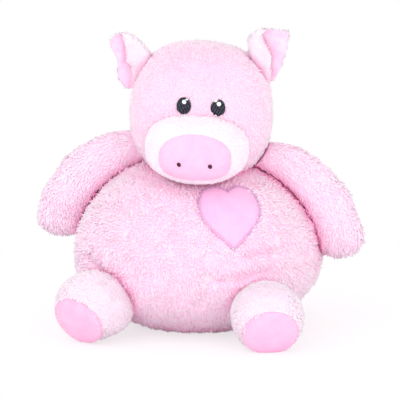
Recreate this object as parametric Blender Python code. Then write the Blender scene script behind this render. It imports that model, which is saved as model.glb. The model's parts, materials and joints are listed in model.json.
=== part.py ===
"""A sitting plush pig, about 24 cm tall, as its sewn covers, stuffing, patches and embroidery.

Metres, +Z up. The face looks towards -Y, and the viewer's right is +X. Every stuffed piece is
a rounded form or a bent limb. A cover is that form less its inside, and its stuffing fills the
inside. A piece that is sewn to another is cut by it with the seam gap between them.
"""

import math
from dataclasses import dataclass, replace

import bmesh
import bpy
from mathutils import Matrix, Vector

# Cloth and seams
SEAM_GAP = 0.0003
PILE_CLOTH = 0.003
VELOUR_CLOTH = 0.002
THREAD_PAD = 0.001
HIGHLIGHT_PAD = 0.0006
FLAT_SEAT = 0.0005
OVERRUN = 0.02
STUFFING_HOLE_RADIUS = 0.006

# Body
BODY_WIDTH = 0.196
BODY_DEPTH = 0.188
BODY_RISE = 0.078
BODY_DROP = 0.060
BODY_RISE_POWER = 2.05
BODY_DROP_POWER = 2.4
BODY_PLAN_POWER = 2.25

# Head
HEAD_WIDTH = 0.114
HEAD_DEPTH = 0.104
HEAD_RISE = 0.0565
HEAD_DROP = 0.0565
HEAD_RISE_POWER = 2.5
HEAD_DROP_POWER = 2.2
HEAD_PLAN_POWER = 2.3
HEAD_ABOVE_BODY = 0.113
HEAD_FORWARD = 0.010
HEAD_ASIDE = 0.0046
HEAD_YAW = math.radians(6)
HEAD_ROLL = math.radians(3)
NECK_OVERLAP_SHARE = 0.3
HEAD_TURN_ROOM = 0.002

# Muzzle and snout
MUZZLE_WIDTH = 0.082
MUZZLE_DEPTH = 0.076
MUZZLE_HEIGHT = 0.057
MUZZLE_POWER = 2.3
MUZZLE_FORWARD = 0.040
MUZZLE_BELOW = 0.0205
PAD_WIDTH = 0.056
PAD_HEIGHT = 0.037
PAD_BELOW = 0.0025
PAD_ASIDE = 0.0010
NOSTRIL_SPACING = 0.0237
NOSTRIL_SIZE = 0.0042
NOSTRIL_BELOW = 0.007

# Eyes
EYE_SPACING = 0.0268
EYE_WIDTH = 0.0112
EYE_HEIGHT = 0.0130
EYE_ABOVE = 0.0140
EYE_ASIDE = 0.0022
HIGHLIGHT_SIZE = 0.0028
HIGHLIGHT_ABOVE = 0.0026

# Ears
EAR_LENGTH = 0.034
EAR_WIDTH = 0.033
EAR_FOLD_RADIUS = 0.0048
EAR_CUP = 0.004
EAR_WIDTH_SHARES = ((0.0, 0.66), (0.25, 0.86), (0.50, 1.0), (0.80, 0.98), (1.0, 0.84))
EAR_FLAP_SHARES = ((0.0, 0.64), (0.45, 0.66), (0.75, 0.50), (1.0, 0.30))
EAR_LINING_GAP = 0.0006
EAR_SUNK = 0.004
EAR_SEAM_DROP = 0.004

# Arms
ARM_BEND_RADIUS = 0.079
ARM_START_DROOP = math.radians(7)
ARM_BEND = math.radians(78)
ARM_WIDTH = 0.046
ARM_THICKNESS = 0.036
ARM_ROOT_BACK = 0.006
ARM_END_BACK = 0.010
ARM_STATION_SHARES = (
    (0.02, 0.70, 0.66),
    (0.10, 0.78, 0.74),
    (0.25, 0.89, 0.85),
    (0.42, 0.96, 0.94),
    (0.58, 1.0, 1.0),
    (0.72, 1.0, 1.0),
    (0.84, 0.96, 0.94),
    (0.93, 0.80, 0.78),
    (0.98, 0.52, 0.50),
    (1.0, 0.20, 0.20),
)

# Feet
FOOT_WIDTH = 0.058
FOOT_HEIGHT = 0.0535
FOOT_FRONT = 0.031
FOOT_REAR = 0.036
FOOT_FRONT_POWER = 2.4
FOOT_REAR_POWER = 2.0
FOOT_PLAN_POWER = 2.1
SOLE_FROM_CENTRE = 0.022
SOLE_WIDTH = 0.044
SOLE_HEIGHT = 0.041
SOLE_BULGE = 0.002
SOLE_BULGE_TOP_SHARE = 0.6
SOLE_FACES_DOWN = math.radians(25)

# Heart
HEART_WIDTH = 0.049
HEART_HEIGHT = 0.0565
HEART_BEARING = math.radians(29)
HEART_PITCH = math.radians(28)
HEART_LEAN = math.radians(-2)
HEART_HALF_SHARES = (
    (0.0, -0.50),
    (0.14, -0.395),
    (0.26, -0.29),
    (0.37, -0.185),
    (0.45, -0.08),
    (0.49, 0.03),
    (0.497, 0.18),
    (0.47, 0.30),
    (0.41, 0.40),
    (0.30, 0.475),
    (0.18, 0.495),
    (0.07, 0.45),
    (0.0, 0.385),
)

# Tail
TAIL_CURL_RADIUS = 0.007
TAIL_ROOT_RADIUS = 0.0028
TAIL_TIP_RADIUS = 0.0018
TAIL_REACH = 0.016
TAIL_TURNS = 1.25
TAIL_CURL_OPENS_SHARE = 0.5
TAIL_POINTS = 12
TAIL_SUNK = 0.004
TAIL_BELOW_WIDEST = 0.012

# Facets
BODY_SIDES, BODY_RINGS = 32, 16
INNER_SIDES, INNER_RINGS = 20, 10
LIMB_SIDES, LIMB_RINGS = 16, 10
OVAL_SIDES = 24
DOT_SIDES = 12
EAR_PANEL_STEPS, EAR_FOLD_STEPS, EAR_FLAP_STEPS, EAR_LAYERS = 4, 4, 2, 8
SLOPE_STEP_SHARE = 0.001
HINGE_SEARCH_STEPS = 30

# Colours, in linear light
PILE_PINK = (0.96, 0.68, 0.82)
PALE_PILE_PINK = (0.97, 0.80, 0.90)
VELOUR_PINK = (0.94, 0.60, 0.78)
HEART_PINK = (0.92, 0.54, 0.78)
STUFFING_WHITE = (0.92, 0.91, 0.90)
EYE_DARK = (0.02, 0.02, 0.03)
NOSTRIL_PLUM = (0.13, 0.04, 0.07)
THREAD_WHITE = (0.95, 0.95, 0.95)
CLOTH_ROUGHNESS = 0.95
THREAD_ROUGHNESS = 0.6


@dataclass(frozen=True)
class Side:
    """What differs between the viewer's left and right, as the photograph shows the toy."""

    name: str
    way: int
    shoulder_out_share: float
    shoulder_up: float
    arm_droop: float
    foot_out: float
    foot_forward: float
    foot_lift: float
    foot_yaw: float
    ear_set: float
    ear_lean: float
    ear_turn: float
    ear_inset: float


LEFT = Side(
    name="left",
    way=-1,
    shoulder_out_share=0.454,
    shoulder_up=0.0795,
    arm_droop=math.radians(0),
    foot_out=0.0685,
    foot_forward=0.084,
    foot_lift=0.0025,
    foot_yaw=math.radians(28),
    ear_set=math.radians(23),
    ear_lean=math.radians(12),
    ear_turn=math.radians(10),
    ear_inset=0.0015,
)
RIGHT = Side(
    name="right",
    way=1,
    shoulder_out_share=0.510,
    shoulder_up=0.0745,
    arm_droop=math.radians(5),
    foot_out=0.0715,
    foot_forward=0.0915,
    foot_lift=0.0,
    foot_yaw=math.radians(17),
    ear_set=math.radians(36),
    ear_lean=math.radians(3),
    ear_turn=math.radians(16),
    ear_inset=0.0,
)


@dataclass(frozen=True)
class Rounded:
    """A stuffed form about a centre, boxier as its powers rise above 2."""

    centre: Vector
    turn: Matrix
    half_width: float
    half_depth: float
    rise: float
    drop: float
    rise_power: float
    drop_power: float
    plan_power: float
    sides: int
    rings: int

    def grown(self, by):
        """The same form with its surface moved outwards."""
        return replace(
            self,
            half_width=self.half_width + by,
            half_depth=self.half_depth + by,
            rise=self.rise + by,
            drop=self.drop + by,
        )

    def plainer(self):
        """The same form with the facets of an inside."""
        return replace(self, sides=min(self.sides, INNER_SIDES), rings=INNER_RINGS)

    def fullness(self, way):
        """How many times a vector from the centre reaches the surface."""
        across = abs(way.x / self.half_width) ** self.plan_power
        across += abs(way.y / self.half_depth) ** self.plan_power
        power = self.rise_power if way.z > 0 else self.drop_power
        up = abs(way.z) / (self.rise if way.z > 0 else self.drop)
        return (across ** (power / self.plan_power) + up**power) ** (1 / power)

    def holds(self, place):
        """Whether a place in the world lies inside the form."""
        return self.fullness(self.turn.transposed() @ (place - self.centre)) < 1

    def spot(self, way):
        """The place on the surface, in the world, in a direction of the form's own."""
        return self.centre + self.turn @ (way / self.fullness(way))

    def facing(self, way):
        """The outward normal there, from the form's own slope."""
        here = way / self.fullness(way)
        step = self.half_width * SLOPE_STEP_SHARE
        slope = [
            self.fullness(here + step * axis) - self.fullness(here - step * axis)
            for axis in Matrix.Identity(3)
        ]
        return (self.turn @ Vector(slope)).normalized()

    def solid(self, name):
        """The form as a closed mesh object."""
        rings = []
        for ring in range(1, self.rings):
            lift = math.pi * (ring / self.rings - 1 / 2)
            power = self.rise_power if lift > 0 else self.drop_power
            height = self.rise if lift > 0 else self.drop
            up = math.copysign(abs(math.sin(lift)) ** (2 / power), lift) * height
            out = math.cos(lift) ** (2 / power)
            rings.append([self.place(out, up, side) for side in range(self.sides)])
        bottom = self.centre + self.turn @ Vector((0, 0, -self.drop))
        top = self.centre + self.turn @ Vector((0, 0, self.rise))
        return loft(name, rings, bottom, top)

    def place(self, out, up, side):
        """One point of a ring."""
        angle = 2 * math.pi * side / self.sides
        east, north = math.cos(angle), math.sin(angle)
        share = 2 / self.plan_power
        x = self.half_width * out * math.copysign(abs(east) ** share, east)
        y = self.half_depth * out * math.copysign(abs(north) ** share, north)
        return self.centre + self.turn @ Vector((x, y, up))


@dataclass(frozen=True)
class Arm:
    """A stuffed arm: oval rings along a line that bends down from the shoulder."""

    side: Side
    root: Vector
    half_width: float
    half_thickness: float
    end_past: float

    def grown(self, by):
        """The same arm with its surface moved outwards."""
        return replace(
            self,
            half_width=self.half_width + by,
            half_thickness=self.half_thickness + by,
            end_past=self.end_past + by,
        )

    def line(self, share):
        """The middle of the arm, its heading and the way across it, at a share of its length."""
        first = ARM_START_DROOP + self.side.arm_droop
        heading = first + ARM_BEND * share
        out = ARM_BEND_RADIUS * (math.sin(heading) - math.sin(first))
        down = ARM_BEND_RADIUS * (math.cos(first) - math.cos(heading))
        back = (ARM_END_BACK - ARM_ROOT_BACK) * share
        middle = self.root + Vector((self.side.way * out, back, -down))
        ahead = Vector((self.side.way * math.cos(heading), 0, -math.sin(heading)))
        across = Vector((self.side.way * math.sin(heading), 0, math.cos(heading)))
        return middle, ahead, across

    def solid(self, name):
        """The arm as a closed mesh object."""
        rings = []
        for share, width_share, thickness_share in ARM_STATION_SHARES:
            middle, ahead, across = self.line(share)
            middle = middle + ahead * self.end_past * max(share, 0)
            wide = self.half_width - (1 - width_share) * ARM_WIDTH / 2
            thick = self.half_thickness - (1 - thickness_share) * ARM_THICKNESS / 2
            least = ARM_THICKNESS / LIMB_SIDES
            back = Vector((0, 1, 0))
            rings.append(oval(middle, across, back, max(wide, least), max(thick, least)))
        return loft(name, rings, None, None)


def clear_scene():
    """Empty the scene of objects, meshes and materials."""
    for old in list(bpy.data.objects):
        bpy.data.objects.remove(old, do_unlink=True)
    for old in list(bpy.data.meshes):
        bpy.data.meshes.remove(old)
    for old in list(bpy.data.materials):
        bpy.data.materials.remove(old)


def oval(middle, across, along, half_across, half_along, sides=LIMB_SIDES):
    """A ring of points about a middle."""
    turns = [2 * math.pi * side / sides for side in range(sides)]
    return [
        middle + across * half_across * math.cos(turn) + along * half_along * math.sin(turn)
        for turn in turns
    ]


def loft(name, rings, first_tip, last_tip):
    """A closed solid through rings, ended by tips or by flat ends."""
    bm = bmesh.new()
    rows = [[bm.verts.new(point) for point in ring] for ring in rings]
    for low, high in zip(rows, rows[1:]):
        for here in range(len(low)):
            after = (here + 1) % len(low)
            bm.faces.new((low[here], low[after], high[after], high[here]))
    for row, tip in ((rows[0], first_tip), (rows[-1], last_tip)):
        if tip is None:
            bm.faces.new(row)
            continue
        point = bm.verts.new(tip)
        for here in range(len(row)):
            bm.faces.new((row[here], row[(here + 1) % len(row)], point))
    return finished(name, bm)


def finished(name, bm):
    """A bmesh as an object of flat facets that point outwards."""
    bm.normal_update()
    bmesh.ops.triangulate(bm, faces=bm.faces[:])
    bmesh.ops.recalc_face_normals(bm, faces=bm.faces[:])
    mesh = bpy.data.meshes.new(name)
    bm.to_mesh(mesh)
    bm.free()
    made = bpy.data.objects.new(name, mesh)
    bpy.context.scene.collection.objects.link(made)
    return made


def prism(name, outline, middle, across, up, out, near, far):
    """An outline of (across, up) pairs, carried from near to far along the way out."""
    rings = [
        [middle + across * x + up * y + out * reach for x, y in outline] for reach in (near, far)
    ]
    return loft(name, rings, None, None)


def half_space(name, middle, out, reach):
    """A block that fills the space beyond a plane."""
    across = out.orthogonal().normalized()
    up = out.cross(across)
    square = ((-reach, -reach), (reach, -reach), (reach, reach), (-reach, reach))
    return prism(name, square, middle, across, up, out, 0, reach)


def combine(piece, operation, *tools):
    """Apply one Boolean for each tool and remove the tools."""
    for tool in tools:
        tool.hide_render = True
        tool.display_type = "WIRE"
        step = piece.modifiers.new(operation.lower(), "BOOLEAN")
        step.operation = operation
        step.solver = "EXACT"
        step.object = tool
    bpy.context.view_layer.update()
    graph = bpy.context.evaluated_depsgraph_get()
    made = bpy.data.meshes.new_from_object(piece.evaluated_get(graph))
    piece.modifiers.clear()
    old, piece.data = piece.data, made
    bpy.data.meshes.remove(old)
    for tool in tools:
        spare = tool.data
        bpy.data.objects.remove(tool, do_unlink=True)
        bpy.data.meshes.remove(spare)
    return piece


def cut(piece, *tools):
    """Take the tools out of a piece."""
    return combine(piece, "DIFFERENCE", *tools)


def keep(piece, *tools):
    """Keep what a piece shares with the tools."""
    return combine(piece, "INTERSECT", *tools)


def cloth(name, colour, roughness):
    """A plain fabric material."""
    made = bpy.data.materials.new(name)
    made.use_nodes = True
    shader = made.node_tree.nodes["Principled BSDF"]
    shader.inputs["Base Color"].default_value = (*colour, 1.0)
    shader.inputs["Roughness"].default_value = roughness
    shader.inputs["Metallic"].default_value = 0.0
    made.diffuse_color = (*colour, 1.0)
    return made


def dress(piece, colour, roughness=CLOTH_ROUGHNESS):
    """Give a piece its own material and soft shading."""
    piece.data.materials.clear()
    piece.data.materials.append(cloth(piece.name, colour, roughness))
    piece.data.shade_smooth()
    return piece


def body_form():
    """The body's outer surface."""
    return Rounded(
        centre=Vector((0, 0, BODY_DROP)),
        turn=Matrix.Identity(3),
        half_width=BODY_WIDTH / 2,
        half_depth=BODY_DEPTH / 2,
        rise=BODY_RISE,
        drop=BODY_DROP + FLAT_SEAT,
        rise_power=BODY_RISE_POWER,
        drop_power=BODY_DROP_POWER,
        plan_power=BODY_PLAN_POWER,
        sides=BODY_SIDES,
        rings=BODY_RINGS,
    )


def head_turn():
    """The way the head is sewn on: turned aside and tipped over."""
    return Matrix.Rotation(HEAD_YAW, 3, "Z") @ Matrix.Rotation(HEAD_ROLL, 3, "Y")


def head_form():
    """The head's outer surface."""
    return Rounded(
        centre=Vector((HEAD_ASIDE, -HEAD_FORWARD, BODY_DROP + HEAD_ABOVE_BODY)),
        turn=head_turn(),
        half_width=HEAD_WIDTH / 2,
        half_depth=HEAD_DEPTH / 2,
        rise=HEAD_RISE,
        drop=HEAD_DROP,
        rise_power=HEAD_RISE_POWER,
        drop_power=HEAD_DROP_POWER,
        plan_power=HEAD_PLAN_POWER,
        sides=BODY_SIDES,
        rings=BODY_RINGS,
    )


def muzzle_form():
    """The muzzle's outer surface, on the front of the head."""
    turn = head_turn()
    return Rounded(
        centre=head_form().centre + turn @ Vector((0, -MUZZLE_FORWARD, -MUZZLE_BELOW)),
        turn=turn,
        half_width=MUZZLE_WIDTH / 2,
        half_depth=MUZZLE_DEPTH / 2,
        rise=MUZZLE_HEIGHT / 2,
        drop=MUZZLE_HEIGHT / 2,
        rise_power=MUZZLE_POWER,
        drop_power=MUZZLE_POWER,
        plan_power=MUZZLE_POWER,
        sides=BODY_SIDES,
        rings=BODY_RINGS,
    )


def foot_form(side):
    """A foot's outer surface, its own Z running forward out of the hip."""
    ahead = foot_ahead(side)
    across = Vector((math.cos(side.foot_yaw), side.way * math.sin(side.foot_yaw), 0))
    turn = Matrix((across, ahead.cross(across), ahead)).transposed()
    high = FOOT_HEIGHT / 2 + side.foot_lift
    return Rounded(
        centre=Vector((side.way * side.foot_out, -side.foot_forward, high)),
        turn=turn,
        half_width=FOOT_WIDTH / 2,
        half_depth=FOOT_HEIGHT / 2 + FLAT_SEAT,
        rise=FOOT_FRONT,
        drop=FOOT_REAR,
        rise_power=FOOT_FRONT_POWER,
        drop_power=FOOT_REAR_POWER,
        plan_power=FOOT_PLAN_POWER,
        sides=INNER_SIDES,
        rings=LIMB_RINGS,
    )


def foot_ahead(side):
    """The level way that a foot points."""
    return Vector((side.way * math.sin(side.foot_yaw), -math.cos(side.foot_yaw), 0))


def neck_axis():
    """The line from the body's middle to the head's, about which the head turns."""
    return (head_form().centre - body_form().centre).normalized()


def neck_middle():
    """The middle of the neck seam, where the body gives up a share of what both forms fill."""
    body, head = body_form(), head_form()
    body_top = body.spot(neck_axis())
    head_bottom = head.spot(head.turn.transposed() @ -neck_axis())
    return body_top.lerp(head_bottom, NECK_OVERLAP_SHARE)


def above_neck(name):
    """The space that the body gives up to the head."""
    place = neck_middle() - neck_axis() * (SEAM_GAP / 2)
    return half_space(name, place, neck_axis(), BODY_WIDTH)


def below_neck(name):
    """The space that the head gives up to the body."""
    place = neck_middle() + neck_axis() * (SEAM_GAP / 2)
    return half_space(name, place, -neck_axis(), BODY_WIDTH)


def below_floor(name):
    """The space under the surface that the toy sits on."""
    return half_space(name, Vector((0, 0, 0)), Vector((0, 0, -1)), BODY_WIDTH)


def make_body():
    """The body's cover, open at the neck, and its stuffing."""
    form = body_form()
    inside = form.plainer()
    cover = form.solid("body_cover")
    cut(cover, below_floor("floor"), above_neck("neck"))
    cut(cover, inside.grown(-PILE_CLOTH).solid("inside"))
    stuffing = inside.grown(-PILE_CLOTH - SEAM_GAP).solid("body_stuffing")
    cut(stuffing, above_neck("neck"))
    return [dress(cover, PILE_PINK), dress(stuffing, STUFFING_WHITE)]


def make_head():
    """The head's cover, open at the neck, and its stuffing."""
    form = head_form()
    inside = form.plainer()
    cover = form.solid("head_cover")
    cut(cover, below_neck("neck"))
    cut(cover, inside.grown(-PILE_CLOTH).solid("inside"))
    stuffing = inside.grown(-PILE_CLOTH - SEAM_GAP).solid("head_stuffing")
    cut(stuffing, below_neck("neck"))
    return [dress(cover, PILE_PINK), dress(stuffing, STUFFING_WHITE)]


def make_muzzle():
    """The muzzle's cup, open where it is sewn to the head, and its stuffing."""
    form = muzzle_form()
    inside = form.plainer()
    cover = form.solid("muzzle_cover")
    cut(cover, inside.grown(-PILE_CLOTH).solid("inside"))
    stuffing = inside.grown(-PILE_CLOTH - SEAM_GAP).solid("muzzle_stuffing")
    chest_room = SEAM_GAP + VELOUR_CLOTH + SEAM_GAP
    for piece in (cover, stuffing):
        cut(piece, head_form().grown(SEAM_GAP).solid("head"))
        cut(piece, body_form().grown(chest_room).solid("body"))
    return [dress(cover, PALE_PILE_PINK), dress(stuffing, STUFFING_WHITE)]


def patch(name, form, lift, thickness, outline, middle, out, lean=0.0):
    """A piece of cloth or stitching that lies on a form, cut to an outline."""
    up = Vector((0, 0, 1))
    up = (up - out * up.dot(out)).normalized()
    up = Matrix.Rotation(lean, 3, out) @ up
    across = up.cross(out)
    piece = form.grown(lift + thickness).solid(name)
    keep(piece, prism("outline", outline, middle, across, up, out, -OVERRUN, OVERRUN))
    return cut(piece, form.grown(lift).solid("under"))


def oval_outline(width, height, sides=OVAL_SIDES):
    """An oval as (across, up) pairs."""
    turns = [2 * math.pi * side / sides for side in range(sides)]
    return [(width / 2 * math.cos(turn), height / 2 * math.sin(turn)) for turn in turns]


def make_snout():
    """The snout's velour pad and its two nostrils."""
    form = muzzle_form()
    turn = form.turn
    out = turn @ Vector((0, -1, 0))
    front = form.centre + out * form.half_depth
    up = turn @ Vector((0, 0, 1))
    across = turn @ Vector((1, 0, 0))
    oval_pad = oval_outline(PAD_WIDTH, PAD_HEIGHT)
    place = front + across * PAD_ASIDE - up * PAD_BELOW
    pad = patch("snout_pad", form, SEAM_GAP, VELOUR_CLOTH, oval_pad, place, out)
    made = [dress(pad, VELOUR_PINK)]
    lift = SEAM_GAP + VELOUR_CLOTH + SEAM_GAP
    dot = oval_outline(NOSTRIL_SIZE, NOSTRIL_SIZE, DOT_SIDES)
    for side in (LEFT, RIGHT):
        place = front + across * (side.way * NOSTRIL_SPACING / 2) - up * NOSTRIL_BELOW
        nostril = patch(f"nostril_{side.name}", form, lift, THREAD_PAD, dot, place, out)
        made.append(dress(nostril, NOSTRIL_PLUM, THREAD_ROUGHNESS))
    return made


def make_eyes():
    """The embroidered eyes and their white highlights."""
    form = head_form()
    turn = form.turn
    out = turn @ Vector((0, -1, 0))
    middle = form.centre + out * form.half_depth + turn @ Vector((0, 0, EYE_ABOVE))
    across = turn @ Vector((1, 0, 0))
    middle += across * EYE_ASIDE
    up = turn @ Vector((0, 0, 1))
    eye_oval = oval_outline(EYE_WIDTH, EYE_HEIGHT)
    dot = oval_outline(HIGHLIGHT_SIZE, HIGHLIGHT_SIZE, DOT_SIDES)
    lift = SEAM_GAP + THREAD_PAD + SEAM_GAP
    made = []
    for side in (LEFT, RIGHT):
        place = middle + across * (side.way * EYE_SPACING / 2)
        eye = patch(f"eye_{side.name}", form, SEAM_GAP, THREAD_PAD, eye_oval, place, out)
        spot = place + up * HIGHLIGHT_ABOVE
        glint = patch(f"eye_highlight_{side.name}", form, lift, HIGHLIGHT_PAD, dot, spot, out)
        made.append(dress(eye, EYE_DARK, THREAD_ROUGHNESS))
        made.append(dress(glint, THREAD_WHITE, THREAD_ROUGHNESS))
    return made


def ear_frame(side):
    """An ear's seam middle on the head, and the ways along it, outwards and forward."""
    form = head_form()
    way = Vector((side.way * math.cos(side.ear_set), 0, math.sin(side.ear_set)))
    along = form.turn @ Vector((side.way * math.sin(side.ear_lean), 0, math.cos(side.ear_lean)))
    opens = Matrix.Rotation(side.way * side.ear_turn, 3, along)
    forward = opens @ form.turn @ Vector((0, -1, 0))
    out = forward.cross(along) * -side.way
    return form.spot(way) - out * side.ear_inset, along, out, forward


def between(stations, share):
    """A value read from a table of (share, value) pairs."""
    for (low, first), (high, last) in zip(stations, stations[1:]):
        if share <= high:
            return first + (last - first) * (share - low) / (high - low)
    return stations[-1][1]


def ear_fold(share):
    """The cross section there, as (outwards, forward) pairs: back panel, fold and front flap."""
    radius = EAR_FOLD_RADIUS
    width = EAR_WIDTH * between(EAR_WIDTH_SHARES, share)
    turn_at = radius - width / 2
    panel = width - radius
    flap = panel * between(EAR_FLAP_SHARES, share)
    line = []
    for step in range(EAR_PANEL_STEPS):
        part = 1 - step / EAR_PANEL_STEPS
        line.append((turn_at + panel * part, EAR_CUP * part**2 - radius))
    for step in range(EAR_FOLD_STEPS + 1):
        angle = math.pi * (step / EAR_FOLD_STEPS + 1 / 2)
        line.append((turn_at + radius * math.cos(angle), -radius * math.sin(angle)))
    for step in range(1, EAR_FLAP_STEPS + 1):
        line.append((turn_at + flap * step / EAR_FLAP_STEPS, radius))
    return line


def beside(line, shift):
    """A line of pairs moved sideways, away from the fold's inside."""
    moved = []
    for here, (x, y) in enumerate(line):
        before, after = line[max(here - 1, 0)], line[min(here + 1, len(line) - 1)]
        run = Vector((after[0] - before[0], after[1] - before[1])).normalized()
        moved.append((x - run.y * shift, y + run.x * shift))
    return moved


def ear_sheet(name, side, inner, outer):
    """A folded sheet between two distances from the fold, from inside the head to the tip."""
    seam, along, out, forward = ear_frame(side)
    rings = []
    for layer in range(EAR_LAYERS + 1):
        lift = -EAR_SUNK + (EAR_LENGTH + EAR_SUNK) * layer / EAR_LAYERS
        line = ear_fold(max(lift, 0) / EAR_LENGTH)
        loop = beside(line, outer) + beside(line, inner)[::-1]
        rings.append([seam + along * lift + out * x + forward * y for x, y in loop])
    return loft(name, rings, None, None)


def make_ear(side):
    """An ear of pile fabric, folded lengthwise, and the velour that lines it."""
    fur = ear_sheet(f"ear_{side.name}", side, 0, PILE_CLOTH)
    name = f"ear_lining_{side.name}"
    lining = ear_sheet(name, side, -EAR_LINING_GAP - VELOUR_CLOTH, -EAR_LINING_GAP)
    for piece in (fur, lining):
        cut(piece, head_form().grown(SEAM_GAP).solid("head"))
    return [dress(fur, PILE_PINK), dress(lining, VELOUR_PINK)]


def ear_hinge(side):
    """The front of an ear's seam, about which the ear flops forward, and its axis."""
    seam, along, out, forward = ear_frame(side)
    front = EAR_FOLD_RADIUS + PILE_CLOTH
    return seam + forward * front - along * EAR_SEAM_DROP, along.cross(forward)


def arm_of(side):
    """An arm's outer surface."""
    out = side.way * side.shoulder_out_share * BODY_WIDTH / 2
    root = Vector((out, ARM_ROOT_BACK, BODY_DROP + side.shoulder_up))
    return Arm(
        side=side,
        root=root,
        half_width=ARM_WIDTH / 2,
        half_thickness=ARM_THICKNESS / 2,
        end_past=0.0,
    )


def make_arm(side):
    """An arm's cover, with its stuffing hole at the root, and its stuffing."""
    arm = arm_of(side)
    body, head = body_form(), head_form()
    cover = arm.solid(f"arm_{side.name}")
    cut(cover, body.grown(SEAM_GAP).solid("body"), head.grown(HEAD_TURN_ROOM).solid("head"))
    inside = arm.grown(-PILE_CLOTH).solid("inside")
    wall = SEAM_GAP + PILE_CLOTH
    cut(inside, body.grown(wall).solid("body"))
    cut(inside, head.grown(HEAD_TURN_ROOM + PILE_CLOTH).solid("head"))
    start, ahead, across = arm.line(0)
    hole = oval_outline(2 * STUFFING_HOLE_RADIUS, 2 * STUFFING_HOLE_RADIUS, DOT_SIDES)
    back = Vector((0, 1, 0))
    tunnel = prism("hole", hole, start, across, back, ahead, -OVERRUN, OVERRUN)
    cut(cover, tunnel, inside)
    stuffing = arm.grown(-PILE_CLOTH - SEAM_GAP).solid(f"arm_stuffing_{side.name}")
    cut(stuffing, body.grown(wall + SEAM_GAP).solid("body"))
    cut(stuffing, head.grown(HEAD_TURN_ROOM + wall).solid("head"))
    return [dress(cover, PILE_PINK), dress(stuffing, STUFFING_WHITE)]


def shoulder_hinge(side):
    """The top of an arm's root, about which the arm lifts, and its axis."""
    middle, ahead, across = arm_of(side).line(0)
    root_half = ARM_STATION_SHARES[0][1] * ARM_WIDTH / 2
    head = head_form().grown(HEAD_TURN_ROOM)
    height = middle.z + root_half
    down = abs(head.centre.z - height) / head.drop
    reach = head.half_width * (1 - down**HEAD_DROP_POWER) ** (1 / HEAD_DROP_POWER)
    place = Vector((head.centre.x + side.way * reach, ARM_ROOT_BACK, height))
    return place, Vector((0, -side.way, 0))


def sole_out(side):
    """The way that a sole faces: forward and down."""
    level = foot_ahead(side) * math.cos(SOLE_FACES_DOWN)
    return level - Vector((0, 0, math.sin(SOLE_FACES_DOWN)))


def make_foot(side):
    """A foot's cover, open where the sole is sewn in, its stuffing and its sole."""
    form = foot_form(side)
    out = sole_out(side)
    front = form.centre + out * SOLE_FROM_CENTRE
    wall = SEAM_GAP + PILE_CLOTH
    cover = form.solid(f"foot_{side.name}")
    cut(cover, half_space("front", front, out, BODY_WIDTH), below_floor("floor"))
    cut(cover, body_form().grown(SEAM_GAP).solid("body"))
    inside = form.grown(-PILE_CLOTH).solid("inside")
    cut(inside, body_form().grown(wall).solid("body"))
    cut(cover, inside)
    stuffing = form.grown(-wall).solid(f"foot_stuffing_{side.name}")
    cut(stuffing, half_space("front", front, out, BODY_WIDTH))
    cut(stuffing, body_form().grown(wall + SEAM_GAP).solid("body"))
    sole = make_sole(side, front + out * SEAM_GAP, out)
    return [dress(cover, PALE_PILE_PINK), dress(stuffing, STUFFING_WHITE), sole]


def make_sole(side, middle, out):
    """A slightly domed oval of velour, cut flat where it meets the floor."""
    up = Vector((0, 0, 1))
    up = (up - out * up.dot(out)).normalized()
    across = up.cross(out)
    layers = ((0.0, 1.0), (VELOUR_CLOTH, 1.0), (VELOUR_CLOTH + SOLE_BULGE, SOLE_BULGE_TOP_SHARE))
    wide, high = SOLE_WIDTH / 2, SOLE_HEIGHT / 2
    rings = [
        oval(middle + out * lift, across, up, wide * share, high * share, OVAL_SIDES)
        for lift, share in layers
    ]
    sole = loft(f"sole_{side.name}", rings, None, None)
    cut(sole, below_floor("floor"))
    return dress(sole, VELOUR_PINK)


def foot_top(side, behind):
    """A place on the ridge of a foot, behind its centre."""
    lower = (behind / FOOT_REAR) ** FOOT_REAR_POWER
    height = FOOT_HEIGHT / 2 * (1 - lower) ** (1 / FOOT_REAR_POWER)
    return foot_form(side).centre - foot_ahead(side) * behind + Vector((0, 0, height))


def hip_hinge(side):
    """Where a foot's ridge meets the body, about which the foot lifts, and its axis."""
    body = body_form()
    near, far = 0.0, FOOT_REAR
    for _ in range(HINGE_SEARCH_STEPS):
        behind = (near + far) / 2
        if body.holds(foot_top(side, behind)):
            far = behind
        else:
            near = behind
    across = Vector((math.cos(side.foot_yaw), side.way * math.sin(side.foot_yaw), 0))
    return foot_top(side, near), -across


def make_heart():
    """The velour heart, sewn on the chest."""
    form = body_form()
    level = math.cos(HEART_PITCH)
    way = Vector((
        level * math.sin(HEART_BEARING),
        -level * math.cos(HEART_BEARING),
        math.sin(HEART_PITCH),
    ))
    half = [(x * HEART_WIDTH, y * HEART_HEIGHT) for x, y in HEART_HALF_SHARES]
    other = [(-x, y) for x, y in half[-2:0:-1]]
    heart = patch(
        "heart",
        form,
        SEAM_GAP,
        VELOUR_CLOTH,
        half + other,
        form.spot(way),
        form.facing(way),
        HEART_LEAN,
    )
    return dress(heart, HEART_PINK)


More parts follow.
